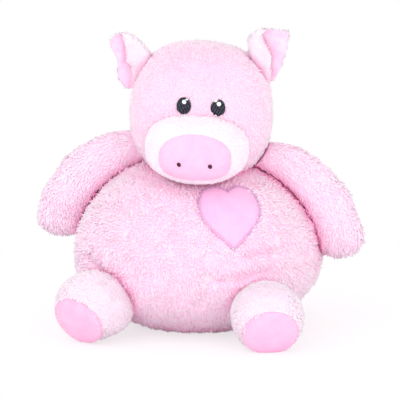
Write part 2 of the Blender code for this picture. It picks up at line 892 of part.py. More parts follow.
def make_tail():
    """A small curled tail in the middle of the back."""
    form = body_form()
    root = form.spot(Vector((0, form.half_depth, -TAIL_BELOW_WIDEST)))
    rings = []
    for step in range(TAIL_POINTS + 1):
        share = step / TAIL_POINTS
        turn = 2 * math.pi * TAIL_TURNS * share
        curl = TAIL_CURL_RADIUS * min(1.0, share / TAIL_CURL_OPENS_SHARE)
        middle = root + Vector((
            curl * math.sin(turn),
            TAIL_REACH * share - TAIL_SUNK,
            TAIL_CURL_RADIUS * share + curl * (1 - math.cos(turn)) / 2,
        ))
        radius = TAIL_ROOT_RADIUS + (TAIL_TIP_RADIUS - TAIL_ROOT_RADIUS) * share
        rings.append((middle, radius))
    middles = [middle for middle, radius in rings]
    tubes = []
    for step, (middle, radius) in enumerate(rings):
        before = middles[max(step - 1, 0)]
        after = middles[min(step + 1, TAIL_POINTS)]
        ahead = (after - before).normalized()
        across = ahead.cross(Vector((0, 0, 1))).normalized()
        tubes.append(oval(middle, across, ahead.cross(across), radius, radius, LIMB_SIDES // 2))
    tail = loft("tail", tubes, None, None)
    cut(tail, form.grown(SEAM_GAP).solid("body"))
    return dress(tail, PILE_PINK)


def pivot(name, place, parent, pieces):
    """An empty on a joint's axis that carries the pieces that move about it."""
    made = bpy.data.objects.new(name, None)
    made.location = place
    bpy.context.scene.collection.objects.link(made)
    bpy.context.view_layer.update()
    hang(made, parent)
    for piece in pieces:
        hang(piece, made)
    return made


def hang(piece, parent):
    """Parent a piece without moving it."""
    if parent is None:
        return
    piece.parent = parent
    piece.matrix_parent_inverse = parent.matrix_world.inverted()
    bpy.context.view_layer.update()


def centre_on_floor(origin, pieces):
    """Move the toy so that the middle of its base is the origin."""
    corners = [piece.matrix_world @ vertex.co for piece in pieces for vertex in piece.data.vertices]
    lows = Vector([min(corner[axis] for corner in corners) for axis in range(3)])
    highs = Vector([max(corner[axis] for corner in corners) for axis in range(3)])
    middle = (lows + highs) / 2
    origin.location = Vector((-middle.x, -middle.y, -lows.z))
    bpy.context.view_layer.update()
    return highs - lows


def tell(name, place, axis, origin):
    """Print a joint's place and axis in the world."""
    spot = origin.location + place
    print(name, [round(value, 5) for value in spot], [round(value, 5) for value in axis])


def main():
    """Build the toy and hang its moving pieces on their joints."""
    clear_scene()
    body = [*make_body(), make_heart(), make_tail()]
    head = [*make_head(), *make_muzzle(), *make_snout(), *make_eyes()]
    origin = pivot("toy", Vector((0, 0, 0)), None, body)
    neck = pivot("neck_pivot", neck_middle(), origin, head)
    joints = [("neck", neck_middle(), neck_axis())]
    pieces = body + head
    for side in (LEFT, RIGHT):
        for part, make, hinge, parent in (
            ("ear", make_ear, ear_hinge, neck),
            ("arm", make_arm, shoulder_hinge, origin),
            ("foot", make_foot, hip_hinge, origin),
        ):
            made = make(side)
            place, axis = hinge(side)
            pivot(f"{part}_{side.name}_pivot", place, parent, made)
            joints.append((f"{part}_{side.name}", place, axis))
            pieces += made
    size = centre_on_floor(origin, pieces)
    print("size", [round(value, 5) for value in size])
    tell("seat", Vector((0, 0, 0)), Vector((0, 0, -1)), origin)
    for name, place, axis in joints:
        tell(name, place, axis, origin)


main()
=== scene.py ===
"""The looks of a sitting plush pig: pile fabric over stuffed forms, velour patches and embroidery.

Metres, +Z up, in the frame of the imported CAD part. The face looks towards -Y, and "left" and
"right" are the viewer's. Each stuffed form repeats its CAD sizes, a little inset, so that the
ends of its pile come out at the CAD surface.
"""

from __future__ import annotations

import json
import logging
import math
from dataclasses import dataclass, replace
from enum import Enum
from typing import Any, Callable, Sequence

import bmesh
import bpy
import numpy as np
from mathutils import Matrix, Vector, noise
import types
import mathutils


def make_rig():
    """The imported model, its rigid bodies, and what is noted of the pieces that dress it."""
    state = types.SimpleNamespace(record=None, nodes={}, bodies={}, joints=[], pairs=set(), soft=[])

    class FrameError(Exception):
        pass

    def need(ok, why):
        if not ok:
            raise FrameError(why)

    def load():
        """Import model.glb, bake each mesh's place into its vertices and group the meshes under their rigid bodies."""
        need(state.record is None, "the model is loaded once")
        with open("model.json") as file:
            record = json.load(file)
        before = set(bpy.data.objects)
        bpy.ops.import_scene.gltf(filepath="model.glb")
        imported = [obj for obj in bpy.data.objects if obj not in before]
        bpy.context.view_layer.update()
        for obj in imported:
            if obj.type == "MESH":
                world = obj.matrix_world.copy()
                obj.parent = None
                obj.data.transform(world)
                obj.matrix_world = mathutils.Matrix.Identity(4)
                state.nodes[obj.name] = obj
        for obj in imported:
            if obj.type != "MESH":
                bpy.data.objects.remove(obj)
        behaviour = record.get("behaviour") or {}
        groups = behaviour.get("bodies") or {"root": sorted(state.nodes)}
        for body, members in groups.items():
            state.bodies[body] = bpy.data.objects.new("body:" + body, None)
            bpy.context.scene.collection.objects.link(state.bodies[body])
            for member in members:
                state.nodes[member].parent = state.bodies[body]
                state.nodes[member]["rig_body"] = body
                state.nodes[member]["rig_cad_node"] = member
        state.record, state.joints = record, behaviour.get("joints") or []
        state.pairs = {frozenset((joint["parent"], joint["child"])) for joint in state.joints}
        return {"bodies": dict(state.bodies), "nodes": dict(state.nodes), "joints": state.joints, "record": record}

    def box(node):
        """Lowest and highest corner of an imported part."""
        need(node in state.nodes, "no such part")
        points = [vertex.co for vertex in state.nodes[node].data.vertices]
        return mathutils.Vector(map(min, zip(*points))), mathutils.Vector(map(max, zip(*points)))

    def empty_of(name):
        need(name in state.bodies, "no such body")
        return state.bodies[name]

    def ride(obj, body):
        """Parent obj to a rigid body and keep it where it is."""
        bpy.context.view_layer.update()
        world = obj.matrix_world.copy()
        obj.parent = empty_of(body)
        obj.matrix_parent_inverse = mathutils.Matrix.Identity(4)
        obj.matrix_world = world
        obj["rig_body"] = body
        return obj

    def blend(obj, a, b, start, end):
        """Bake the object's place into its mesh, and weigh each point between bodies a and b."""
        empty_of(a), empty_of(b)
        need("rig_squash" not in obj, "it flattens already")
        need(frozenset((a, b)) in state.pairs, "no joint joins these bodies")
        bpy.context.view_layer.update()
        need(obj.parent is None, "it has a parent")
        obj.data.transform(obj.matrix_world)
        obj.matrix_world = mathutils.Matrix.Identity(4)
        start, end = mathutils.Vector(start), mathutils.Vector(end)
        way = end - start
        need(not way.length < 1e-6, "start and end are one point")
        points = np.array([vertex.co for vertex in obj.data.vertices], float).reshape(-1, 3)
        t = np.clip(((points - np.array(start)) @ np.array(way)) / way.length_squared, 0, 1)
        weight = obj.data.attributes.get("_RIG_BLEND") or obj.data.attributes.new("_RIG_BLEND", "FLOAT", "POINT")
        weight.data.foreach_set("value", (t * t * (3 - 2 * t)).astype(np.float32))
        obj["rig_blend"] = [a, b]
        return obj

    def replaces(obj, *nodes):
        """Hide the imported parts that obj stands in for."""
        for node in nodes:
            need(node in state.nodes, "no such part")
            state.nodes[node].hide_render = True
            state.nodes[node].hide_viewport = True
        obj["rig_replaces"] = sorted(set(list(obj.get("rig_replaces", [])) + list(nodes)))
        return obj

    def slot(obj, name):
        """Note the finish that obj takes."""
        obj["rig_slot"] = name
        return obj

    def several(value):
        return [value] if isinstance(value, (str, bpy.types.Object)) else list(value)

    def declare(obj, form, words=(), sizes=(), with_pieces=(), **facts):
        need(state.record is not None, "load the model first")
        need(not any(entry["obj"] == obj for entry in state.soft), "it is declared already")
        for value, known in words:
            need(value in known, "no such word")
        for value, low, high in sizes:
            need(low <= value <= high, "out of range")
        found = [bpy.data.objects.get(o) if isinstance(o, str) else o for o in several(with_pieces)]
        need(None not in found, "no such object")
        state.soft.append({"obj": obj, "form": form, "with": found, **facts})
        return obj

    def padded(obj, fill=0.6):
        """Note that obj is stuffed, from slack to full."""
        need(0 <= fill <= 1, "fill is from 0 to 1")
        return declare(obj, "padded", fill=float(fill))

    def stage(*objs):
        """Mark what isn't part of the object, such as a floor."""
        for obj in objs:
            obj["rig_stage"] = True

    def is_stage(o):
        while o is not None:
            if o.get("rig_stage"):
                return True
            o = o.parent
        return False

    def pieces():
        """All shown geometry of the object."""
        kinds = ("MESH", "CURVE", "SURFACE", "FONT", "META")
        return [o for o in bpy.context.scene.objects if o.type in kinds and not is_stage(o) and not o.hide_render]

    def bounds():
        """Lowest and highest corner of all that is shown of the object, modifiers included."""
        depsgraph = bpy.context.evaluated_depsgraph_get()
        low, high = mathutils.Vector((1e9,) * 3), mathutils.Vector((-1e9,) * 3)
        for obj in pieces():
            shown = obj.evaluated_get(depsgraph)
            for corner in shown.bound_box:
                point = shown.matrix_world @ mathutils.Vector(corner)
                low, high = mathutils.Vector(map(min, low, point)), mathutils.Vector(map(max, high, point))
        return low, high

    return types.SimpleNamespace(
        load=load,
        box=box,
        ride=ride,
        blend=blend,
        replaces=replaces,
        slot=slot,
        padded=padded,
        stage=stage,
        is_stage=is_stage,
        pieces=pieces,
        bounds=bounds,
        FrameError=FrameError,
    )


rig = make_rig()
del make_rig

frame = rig.load()
CAD_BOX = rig.bounds()
LOG = logging.getLogger("plush pig")

Array = np.ndarray
Colour = tuple[float, float, float]
Face = tuple[int, ...]
Shape = Callable[[Array], Array]
Socket = bpy.types.NodeSocket
Tree = bpy.types.NodeTree

SIZE_FILE = "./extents.json"
BAKE_MAP = "OFBake"
CLOTH = 0.003
VELOUR = 0.002
SEAM = 0.0003
TURN_ROOM = 0.002
BODY_DROP = 0.060
FLAT_SEAT = 0.0005
NECK_SHARE = 0.3
SATIN_DIP = 0.0006

# How high fabric is kept over the floor, from where pile grows on it, and a distance that stands
# for none.
FLOOR_SKIN = 0.0003
ABOVE_FLOOR = 0.0012
FAR = 9.0
SIDES = (("left", -1), ("right", 1))
Z = Vector((0, 0, 1))

# The pile's tree: tufts that can stand in a square of the spacing, how clumps wind and are drawn
# out, how lengths and clumps differ, and how many steps of painted shade the bake map has.
MOST_TUFTS = 2.2
WIND_SCALE = 60.0
WIND_REACH = 0.03
CLUMP_STRETCH = (0.6, 0.6, 1.5)
LENGTHS = (0.8, 1.15)
CLUMP_LENGTHS = (0.6, 1.25)
NOISE_MIDDLE = (0.3, 0.7)
PAINTED_SHADE_BANDS = 6


class Slot(Enum):
    """The record's material slots."""

    PILE = "pile"
    PALE_PILE = "pale_pile"
    VELOUR = "velour"
    HEART = "heart_velour"
    STUFFING = "stuffing"
    DARK = "dark_thread"
    PLUM = "plum_thread"
    WHITE = "white_thread"


# Node trees


def add(tree: Tree, kind: str, inputs: dict | None = None, **settings: Any) -> bpy.types.Node:
    """Add a node, set it and fill its sockets.

    Args:
        tree: The tree that the node goes into.
        kind: The node's type name.
        inputs: A value or a socket to link from, for a socket's name or number.
        settings: The node's own properties.

    Returns:
        The node.
    """
    node = tree.nodes.new(kind)
    for name, value in settings.items():
        setattr(node, name, value)
    for key, value in (inputs or {}).items():
        socket = node.inputs[key]
        if isinstance(value, bpy.types.NodeSocket):
            tree.links.new(value, socket)
        else:
            socket.default_value = value
    return node


def maths(tree: Tree, operation: str, first: Any, second: Any = 0.0) -> Socket:
    """One sum, with its result."""
    return add(tree, "ShaderNodeMath", {0: first, 1: second}, operation=operation).outputs[0]


def vectors(tree: Tree, operation: str, first: Any, second: Any) -> Socket:
    """One sum of vectors, with its result."""
    key = "Scale" if operation == "SCALE" else 1
    return add(tree, "ShaderNodeVectorMath", {0: first, key: second}, operation=operation).outputs[0]


def spread(tree: Tree, value: Socket, low: float, high: float, to_low: float, to_high: float) -> Socket:
    """A value carried from one range to another."""
    inputs = {0: value, 1: low, 2: high, 3: to_low, 4: to_high}
    return add(tree, "ShaderNodeMapRange", inputs).outputs[0]


def mixed(tree: Tree, share: Any, *colours: Any) -> Socket:
    """Two colours mixed."""
    first, second = ((*item, 1.0) if isinstance(item, tuple) else item for item in colours)
    return add(tree, "ShaderNodeMix", {0: share, 6: first, 7: second}, data_type="RGBA").outputs[2]


def named(tree: Tree, name: str, kind: str) -> Socket:
    """A named attribute of the mesh, in a geometry tree."""
    return add(tree, "GeometryNodeInputNamedAttribute", {"Name": name}, data_type=kind).outputs[0]


def stored(tree: Tree, mesh: Socket, name: str, kind: str, domain: str, value: Socket) -> Socket:
    """The mesh with a value stored on it under a name."""
    inputs = {"Geometry": mesh, "Name": name, "Value": value}
    return add(tree, "GeometryNodeStoreNamedAttribute", inputs, data_type=kind, domain=domain).outputs[0]


def geometry_tree(name: str, sockets: Sequence[tuple[str, str]]) -> tuple[Tree, dict[str, Socket]]:
    """A geometry tree with named inputs.

    Args:
        name: The tree's name.
        sockets: Each input's name and its kind.

    Returns:
        The tree, and the group input's sockets by name.
    """
    tree = bpy.data.node_groups.new(name, "GeometryNodeTree")
    face = tree.interface
    face.new_socket("Geometry", in_out="INPUT", socket_type="NodeSocketGeometry")
    for label, kind in sockets:
        face.new_socket(label, in_out="INPUT", socket_type="NodeSocket" + kind)
    face.new_socket("Geometry", in_out="OUTPUT", socket_type="NodeSocketGeometry")
    start = add(tree, "NodeGroupInput")
    return tree, {socket.name: socket for socket in start.outputs if socket.name}


def tuft_shape(tree: Tree) -> Socket:
    """One tuft: a three-sided lock that is full in the middle, bent over, and closed.

    Args:
        tree: The tree that it is made in.

    Returns:
        The tuft's mesh, one metre long and one in radius, with its place for the bake stored.
    """
    sizes = {"Vertices": 3, "Side Segments": 2, "Radius Top": 0.0, "Radius Bottom": 1.0, "Depth": 1.0}
    cone = add(tree, "GeometryNodeMeshCone", sizes, fill_type="NGON").outputs["Mesh"]
    parts = add(tree, "ShaderNodeSeparateXYZ", {0: add(tree, "GeometryNodeInputPosition").outputs[0]})
    x, y, z = parts.outputs
    across = maths(tree, "MULTIPLY", maths(tree, "ADD", x, maths(tree, "MULTIPLY", y, 0.37)), 0.02)
    lift = maths(tree, "ADD", z, maths(tree, "MULTIPLY", y, 0.02))
    place = add(tree, "ShaderNodeCombineXYZ", {0: across, 1: lift}).outputs[0]
    kept = stored(tree, cone, "tuft_place", "FLOAT_VECTOR", "POINT", place)
    belly = maths(tree, "MULTIPLY", maths(tree, "MULTIPLY", z, maths(tree, "SUBTRACT", 1.0, z)), 3.2)
    full = maths(tree, "ADD", 1.0, belly)
    bent = maths(tree, "MULTIPLY", maths(tree, "MULTIPLY", z, z), 1.1)
    wide = maths(tree, "ADD", maths(tree, "MULTIPLY", x, full), bent)
    deep = maths(tree, "MULTIPLY", y, full)
    moved = add(tree, "ShaderNodeCombineXYZ", {0: wide, 1: deep, 2: z}).outputs[0]
    return add(tree, "GeometryNodeSetPosition", {"Geometry": kept, "Position": moved}).outputs[0]


def pile_tree() -> Tree:
    """The tree that covers a skin with combed tufts in clumps.

    Returns:
        The tree. It reads the skin's own density, comb, height, patch and deep, its amount of painted
        shade. Each tuft's map for the bake runs along its tone, and up from root to tip in one band for
        each step of painted shade.
    """
    tree, given = geometry_tree("pile", (
        ("Patch", "Int"), ("Spacing", "Float"), ("Length", "Float"), ("Width", "Float"),
        ("Stand", "Float"), ("Comb", "Float"), ("Ruffle", "Float"), ("Clump", "Float"),
        ("Floor", "Float"), ("Seed", "Int"), ("Finish", "Material"),
    ))
    here = {2: named(tree, "patch", "INT"), 3: given["Patch"]}
    chosen = add(tree, "FunctionNodeCompare", here, data_type="INT", operation="EQUAL").outputs[0]
    most = maths(tree, "DIVIDE", MOST_TUFTS, maths(tree, "MULTIPLY", given["Spacing"], given["Spacing"]))
    scatter = add(tree, "GeometryNodeDistributePointsOnFaces", {
        "Mesh": given["Geometry"], "Selection": chosen, "Distance Min": given["Spacing"],
        "Density Max": most, "Density Factor": named(tree, "density", "FLOAT"),
        "Seed": given["Seed"],
    }, distribute_method="POISSON")
    size = maths(tree, "DIVIDE", 1.0, given["Clump"])
    here = add(tree, "GeometryNodeInputPosition").outputs[0]
    bend = add(tree, "ShaderNodeTexNoise", {"Vector": here, "Scale": WIND_SCALE, "Detail": 0.0})
    bend = vectors(tree, "SUBTRACT", bend.outputs["Color"], (0.5, 0.5, 0.5))
    wound = vectors(tree, "ADD", here, vectors(tree, "SCALE", bend, WIND_REACH))
    drawn = vectors(tree, "MULTIPLY", wound, CLUMP_STRETCH)
    waves = add(tree, "ShaderNodeTexNoise", {
        "Vector": drawn, "Scale": size, "Detail": 1.0, "Roughness": 0.5,
    })
    middle = vectors(tree, "SUBTRACT", waves.outputs["Color"], (0.5, 0.5, 0.5))
    ruffle = vectors(tree, "SCALE", middle, given["Ruffle"])
    stand = vectors(tree, "SCALE", scatter.outputs["Normal"], given["Stand"])
    comb = vectors(tree, "SCALE", named(tree, "comb", "FLOAT_VECTOR"), given["Comb"])
    way = vectors(tree, "ADD", vectors(tree, "ADD", stand, comb), ruffle)
    aim = add(tree, "FunctionNodeAlignRotationToVector", {"Vector": way}, axis="Z").outputs[0]
    turn = add(tree, "FunctionNodeRandomValue", {2: 0.0, 3: 2 * math.pi, "Seed": 3})
    spin = {"Axis": (0.0, 0.0, 1.0), "Angle": turn.outputs[1]}
    spin = add(tree, "FunctionNodeAxisAngleToRotation", spin)
    spun = {"Rotation": aim, "Rotate By": spin.outputs[0]}
    turned = add(tree, "FunctionNodeRotateRotation", spun, rotation_space="LOCAL").outputs[0]
    chance = add(tree, "FunctionNodeRandomValue", {2: LENGTHS[0], 3: LENGTHS[1], "Seed": 5}).outputs[1]
    swell = spread(tree, waves.outputs["Fac"], *NOISE_MIDDLE, *CLUMP_LENGTHS)
    long = maths(tree, "MULTIPLY", maths(tree, "MULTIPLY", chance, swell), given["Length"])
    long = maths(tree, "MULTIPLY", long, named(tree, "height", "FLOAT"))
    wide = maths(tree, "MULTIPLY", chance, given["Width"])
    scale = add(tree, "ShaderNodeCombineXYZ", {0: wide, 1: wide, 2: long}).outputs[0]
    tufts = add(tree, "GeometryNodeInstanceOnPoints", {
        "Points": scatter.outputs["Points"], "Instance": tuft_shape(tree),
        "Rotation": turned, "Scale": scale,
    }).outputs[0]
    part = add(tree, "FunctionNodeRandomValue", {2: 0.0, 3: 0.3, "Seed": 7}).outputs[1]
    tone = maths(tree, "ADD", part, spread(tree, waves.outputs["Fac"], *NOISE_MIDDLE, 0.0, 0.7))
    tufts = stored(tree, tufts, "tone", "FLOAT", "INSTANCE", tone)
    tufts = stored(tree, tufts, "skin_way", "FLOAT_VECTOR", "INSTANCE", scatter.outputs["Normal"])
    made = add(tree, "GeometryNodeRealizeInstances", {"Geometry": tufts}).outputs[0]
    spot = add(tree, "ShaderNodeSeparateXYZ", {0: named(tree, "tuft_place", "FLOAT_VECTOR")})
    tone_again = spread(tree, named(tree, "tone", "FLOAT"), 0.0, 1.0, 0.05, 0.95)
    along = maths(tree, "ADD", tone_again, spot.outputs[0])
    up = spread(tree, spot.outputs[1], -0.02, 1.0, 0.02, 0.98)
    # Painted shade: the skin's deep amount, made uneven by tone, picks the band of each tuft's bake map.
    uneven = spread(tree, tone_again, 0.0, 1.0, 0.7, 1.3)
    shade_paint = maths(tree, "MULTIPLY", named(tree, "deep", "FLOAT"), uneven)
    shade_paint = maths(tree, "MULTIPLY", maths(tree, "MINIMUM", shade_paint, 0.99), float(PAINTED_SHADE_BANDS))
    band = maths(tree, "ADD", maths(tree, "FLOOR", shade_paint), up)
    band = maths(tree, "DIVIDE", band, float(PAINTED_SHADE_BANDS))
    bake = add(tree, "ShaderNodeCombineXYZ", {0: along, 1: band}).outputs[0]
    made = stored(tree, made, BAKE_MAP, "FLOAT2", "CORNER", bake)
    where = add(tree, "GeometryNodeInputPosition").outputs[0]
    above = add(tree, "ShaderNodeCombineXYZ", {0: -FAR, 1: -FAR, 2: given["Floor"]}).outputs[0]
    kept = vectors(tree, "MAXIMUM", where, above)
    made = add(tree, "GeometryNodeSetPosition", {"Geometry": made, "Position": kept}).outputs[0]
    for name in ("tone", "tuft_place", "density", "comb", "height", "patch", "deep"):
        made = add(tree, "GeometryNodeRemoveAttribute", {"Geometry": made, "Name": name}).outputs[0]
    made = add(tree, "GeometryNodeSetShadeSmooth", {"Geometry": made}).outputs[0]
    made = add(tree, "GeometryNodeSetMaterial", {"Geometry": made, "Material": given["Finish"]})
    add(tree, "NodeGroupOutput", {0: made.outputs[0]})
    return tree


def thread_tree() -> Tree:
    """The tree that lays a round thread along every line of a mesh of lines."""
    tree, given = geometry_tree("thread", (
        ("Radius", "Float"), ("Sides", "Int"), ("Finish", "Material"),
    ))
    line = add(tree, "GeometryNodeMeshToCurve", {"Mesh": given["Geometry"]}).outputs[0]
    length = add(tree, "GeometryNodeSplineParameter").outputs["Length"]
    line = stored(tree, line, "along", "FLOAT", "POINT", length)
    ring = add(tree, "GeometryNodeCurvePrimitiveCircle", {
        "Resolution": given["Sides"], "Radius": given["Radius"],
    }).outputs[0]
    tube = add(tree, "GeometryNodeCurveToMesh", {
        "Curve": line, "Profile Curve": ring, "Fill Caps": True,
    }).outputs[0]
    tube = add(tree, "GeometryNodeRealizeInstances", {"Geometry": tube}).outputs[0]
    tube = add(tree, "GeometryNodeSetShadeSmooth", {"Geometry": tube}).outputs[0]
    tube = add(tree, "GeometryNodeSetMaterial", {"Geometry": tube, "Material": given["Finish"]})
    add(tree, "NodeGroupOutput", {0: tube.outputs[0]})
    return tree


def grown_by_tree(name: str, source: bpy.types.Object, tree: Tree, inputs: dict[str, Any]) -> bpy.types.Object:
    """A plain mesh object made by a geometry tree from a source object.

    Args:
        name: The new piece's name.
        source: The object whose mesh goes into the tree. It is left as it was.
        tree: The geometry tree.
        inputs: Values for the tree's inputs, by name.

    Returns:
        The new object.
    """
    step = source.modifiers.new("made", "NODES")
    step.node_group = tree
    for item in tree.interface.items_tree:
        if item.item_type == "SOCKET" and item.in_out == "INPUT" and item.name in inputs:
            step[item.identifier] = inputs[item.name]
    bpy.context.view_layer.update()
    graph = bpy.context.evaluated_depsgraph_get()
    mesh = bpy.data.meshes.new_from_object(source.evaluated_get(graph), depsgraph=graph)
    source.modifiers.remove(step)
    mesh.name = name
    made = bpy.data.objects.new(name, mesh)
    bpy.context.scene.collection.objects.link(made)
    return made


# Finishes


def nap_group() -> Tree:
    """The shared effect of nap and mottling: a soft tone and a fine height, from object space."""
    tree = bpy.data.node_groups.new("nap", "ShaderNodeTree")
    face = tree.interface
    for name, value in (("Blotch", 90.0), ("Grain", 1400.0)):
        face.new_socket(name, in_out="INPUT", socket_type="NodeSocketFloat").default_value = value
    for name in ("Tone", "Height"):
        face.new_socket(name, in_out="OUTPUT", socket_type="NodeSocketFloat")
    given = add(tree, "NodeGroupInput").outputs
    place = add(tree, "ShaderNodeTexCoord").outputs["Object"]
    noises = ((given["Blotch"], 3.0), (given["Grain"], 2.0))
    blotch, grain = (add(tree, "ShaderNodeTexNoise", {"Vector": place, "Scale": size, "Detail": detail})
                     .outputs["Fac"] for size, detail in noises)
    both = maths(tree, "ADD", maths(tree, "MULTIPLY", blotch, 0.55), maths(tree, "MULTIPLY", grain, 0.45))
    tone = spread(tree, both, 0.36, 0.64, 0.0, 1.0)
    height = maths(tree, "ADD", grain, maths(tree, "MULTIPLY", blotch, 0.6))
    add(tree, "NodeGroupOutput", {"Tone": tone, "Height": height})
    return tree


def blank_material(name: str, **surface: float) -> tuple[bpy.types.Material, Tree, bpy.types.Node]:
    """A new material, its tree and its Principled shader, with the surface's plain numbers set."""
    made = bpy.data.materials.new(name)
    made.use_nodes = True
    shader = made.node_tree.nodes["Principled BSDF"]
    for key, value in surface.items():
        shader.inputs[key.replace("_", " ").title().replace("Ior", "IOR")].default_value = value
    return made, made.node_tree, shader


@dataclass(frozen=True)
class PileFinish:
    """Tufts of pile: paler at the tip, no two quite alike, with painted shade at the root and beside other parts."""

    name: str
    root: Colour
    tip: Colour
    odd: Colour
    # The colour of painted shade beside other parts, and how much of it shows at its deepest.
    fold: Colour = (1.0, 0.36, 0.64)
    odd_share: float = 0.5
    fold_share: float = 0.85
    roughness: float = 0.9
    sheen: float = 0.05

    def material(self) -> bpy.types.Material:
        """The finish as a material that reads the tufts' own map."""
        made, tree, shader = blank_material(self.name, roughness=self.roughness, sheen_weight=self.sheen,
                                            sheen_roughness=0.5, specular_ior_level=0.02)
        own = add(tree, "ShaderNodeUVMap", uv_map=BAKE_MAP).outputs[0]
        spot = add(tree, "ShaderNodeSeparateXYZ", {0: own})
        stack = maths(tree, "MULTIPLY", spot.outputs[1], float(PAINTED_SHADE_BANDS))
        # Painted shade deep in the pile: the root colour is deeper, rising to the tip's.
        rise = spread(tree, maths(tree, "FRACT", stack), 0.05, 0.75, 0.0, 1.0)
        lock = mixed(tree, rise, self.root, self.tip)
        grain = add(tree, "ShaderNodeTexNoise", {"Vector": own, "Scale": 40.0, "Detail": 1.0})
        odd = spread(tree, spot.outputs[0], 0.1, 0.9, 0.0, 1.0)
        odd = maths(tree, "MULTIPLY", odd, self.odd_share)
        speckle = spread(tree, grain.outputs["Fac"], *NOISE_MIDDLE, 0.5, 1.5)
        odd = maths(tree, "MULTIPLY", odd, speckle)
        # Painted shade beside other parts: the bake map's band, mixed towards the shade colour.
        deep = maths(tree, "DIVIDE", maths(tree, "FLOOR", stack), PAINTED_SHADE_BANDS - 1.0)
        deep = maths(tree, "MULTIPLY", deep, self.fold_share)
        colour = mixed(tree, deep, mixed(tree, odd, lock, self.odd), self.fold)
        tree.links.new(colour, shader.inputs["Base Color"])
        return made


@dataclass(frozen=True)
class ClothFinish:
    """A cloth ground or a velour: mottled, with the fine height of its nap, and painted shade where its mesh has a
    deep amount.
    """

    name: str
    dark: Colour
    light: Colour
    blotch: float = 90.0
    grain: float = 1400.0
    depth: float = 0.0003
    roughness: float = 0.9
    sheen: float = 0.1
    # The colour of painted shade, and how much of it shows at its deepest.
    fold: Colour = (1.0, 0.34, 0.62)
    fold_share: float = 0.85

    def material(self, nap: Tree) -> bpy.types.Material:
        """The finish as a material, with the shared nap effect."""
        made, tree, shader = blank_material(self.name, roughness=self.roughness, sheen_weight=self.sheen,
                                            sheen_roughness=0.4, specular_ior_level=0.1)
        effect = add(tree, "ShaderNodeGroup", node_tree=nap)
        effect.inputs["Blotch"].default_value = self.blotch
        effect.inputs["Grain"].default_value = self.grain
        colour = mixed(tree, effect.outputs["Tone"], self.dark, self.light)
        # Painted shade, as much as the mesh's deep attribute gives.
        deep = add(tree, "ShaderNodeAttribute", attribute_name="deep").outputs["Fac"]
        deep = maths(tree, "MULTIPLY", deep, self.fold_share)
        tree.links.new(mixed(tree, deep, colour, self.fold), shader.inputs["Base Color"])
        bump = add(tree, "ShaderNodeBump", {
            "Height": effect.outputs["Height"], "Distance": self.depth, "Strength": 0.8,
        })
        tree.links.new(bump.outputs[0], shader.inputs["Normal"])
        return made


@dataclass(frozen=True)
class ThreadFinish:
    """Embroidery thread: a soft shine and the twist of its plies."""

    name: str
    dark: Colour
    light: Colour
    twist: float = 1500.0
    roughness: float = 0.6
    shine: float = 0.25

    def material(self) -> bpy.types.Material:
        """The finish as a material that reads the thread's own length."""
        made, tree, shader = blank_material(self.name, roughness=self.roughness,
                                            specular_ior_level=self.shine)
        along = add(tree, "ShaderNodeAttribute", attribute_name="along").outputs["Fac"]
        place = add(tree, "ShaderNodeTexCoord").outputs["Object"]
        grain = add(tree, "ShaderNodeTexNoise", {"Vector": place, "Scale": 700.0, "Detail": 2.0})
        turns = maths(tree, "ADD", maths(tree, "MULTIPLY", along, self.twist),
                      maths(tree, "MULTIPLY", grain.outputs["Fac"], 4.0))
        ply = spread(tree, maths(tree, "SINE", turns), -1.0, 1.0, 0.0, 1.0)
        # The colour follows the plies' rise too: painted shade in the twist's grooves, mixed with random grain.
        tone = maths(tree, "MULTIPLY", maths(tree, "ADD", ply, grain.outputs["Fac"]), 0.5)
        tree.links.new(mixed(tree, tone, self.dark, self.light), shader.inputs["Base Color"])
        bump = add(tree, "ShaderNodeBump", {"Height": ply, "Distance": 0.00008, "Strength": 0.7})
        tree.links.new(bump.outputs[0], shader.inputs["Normal"])
        return made


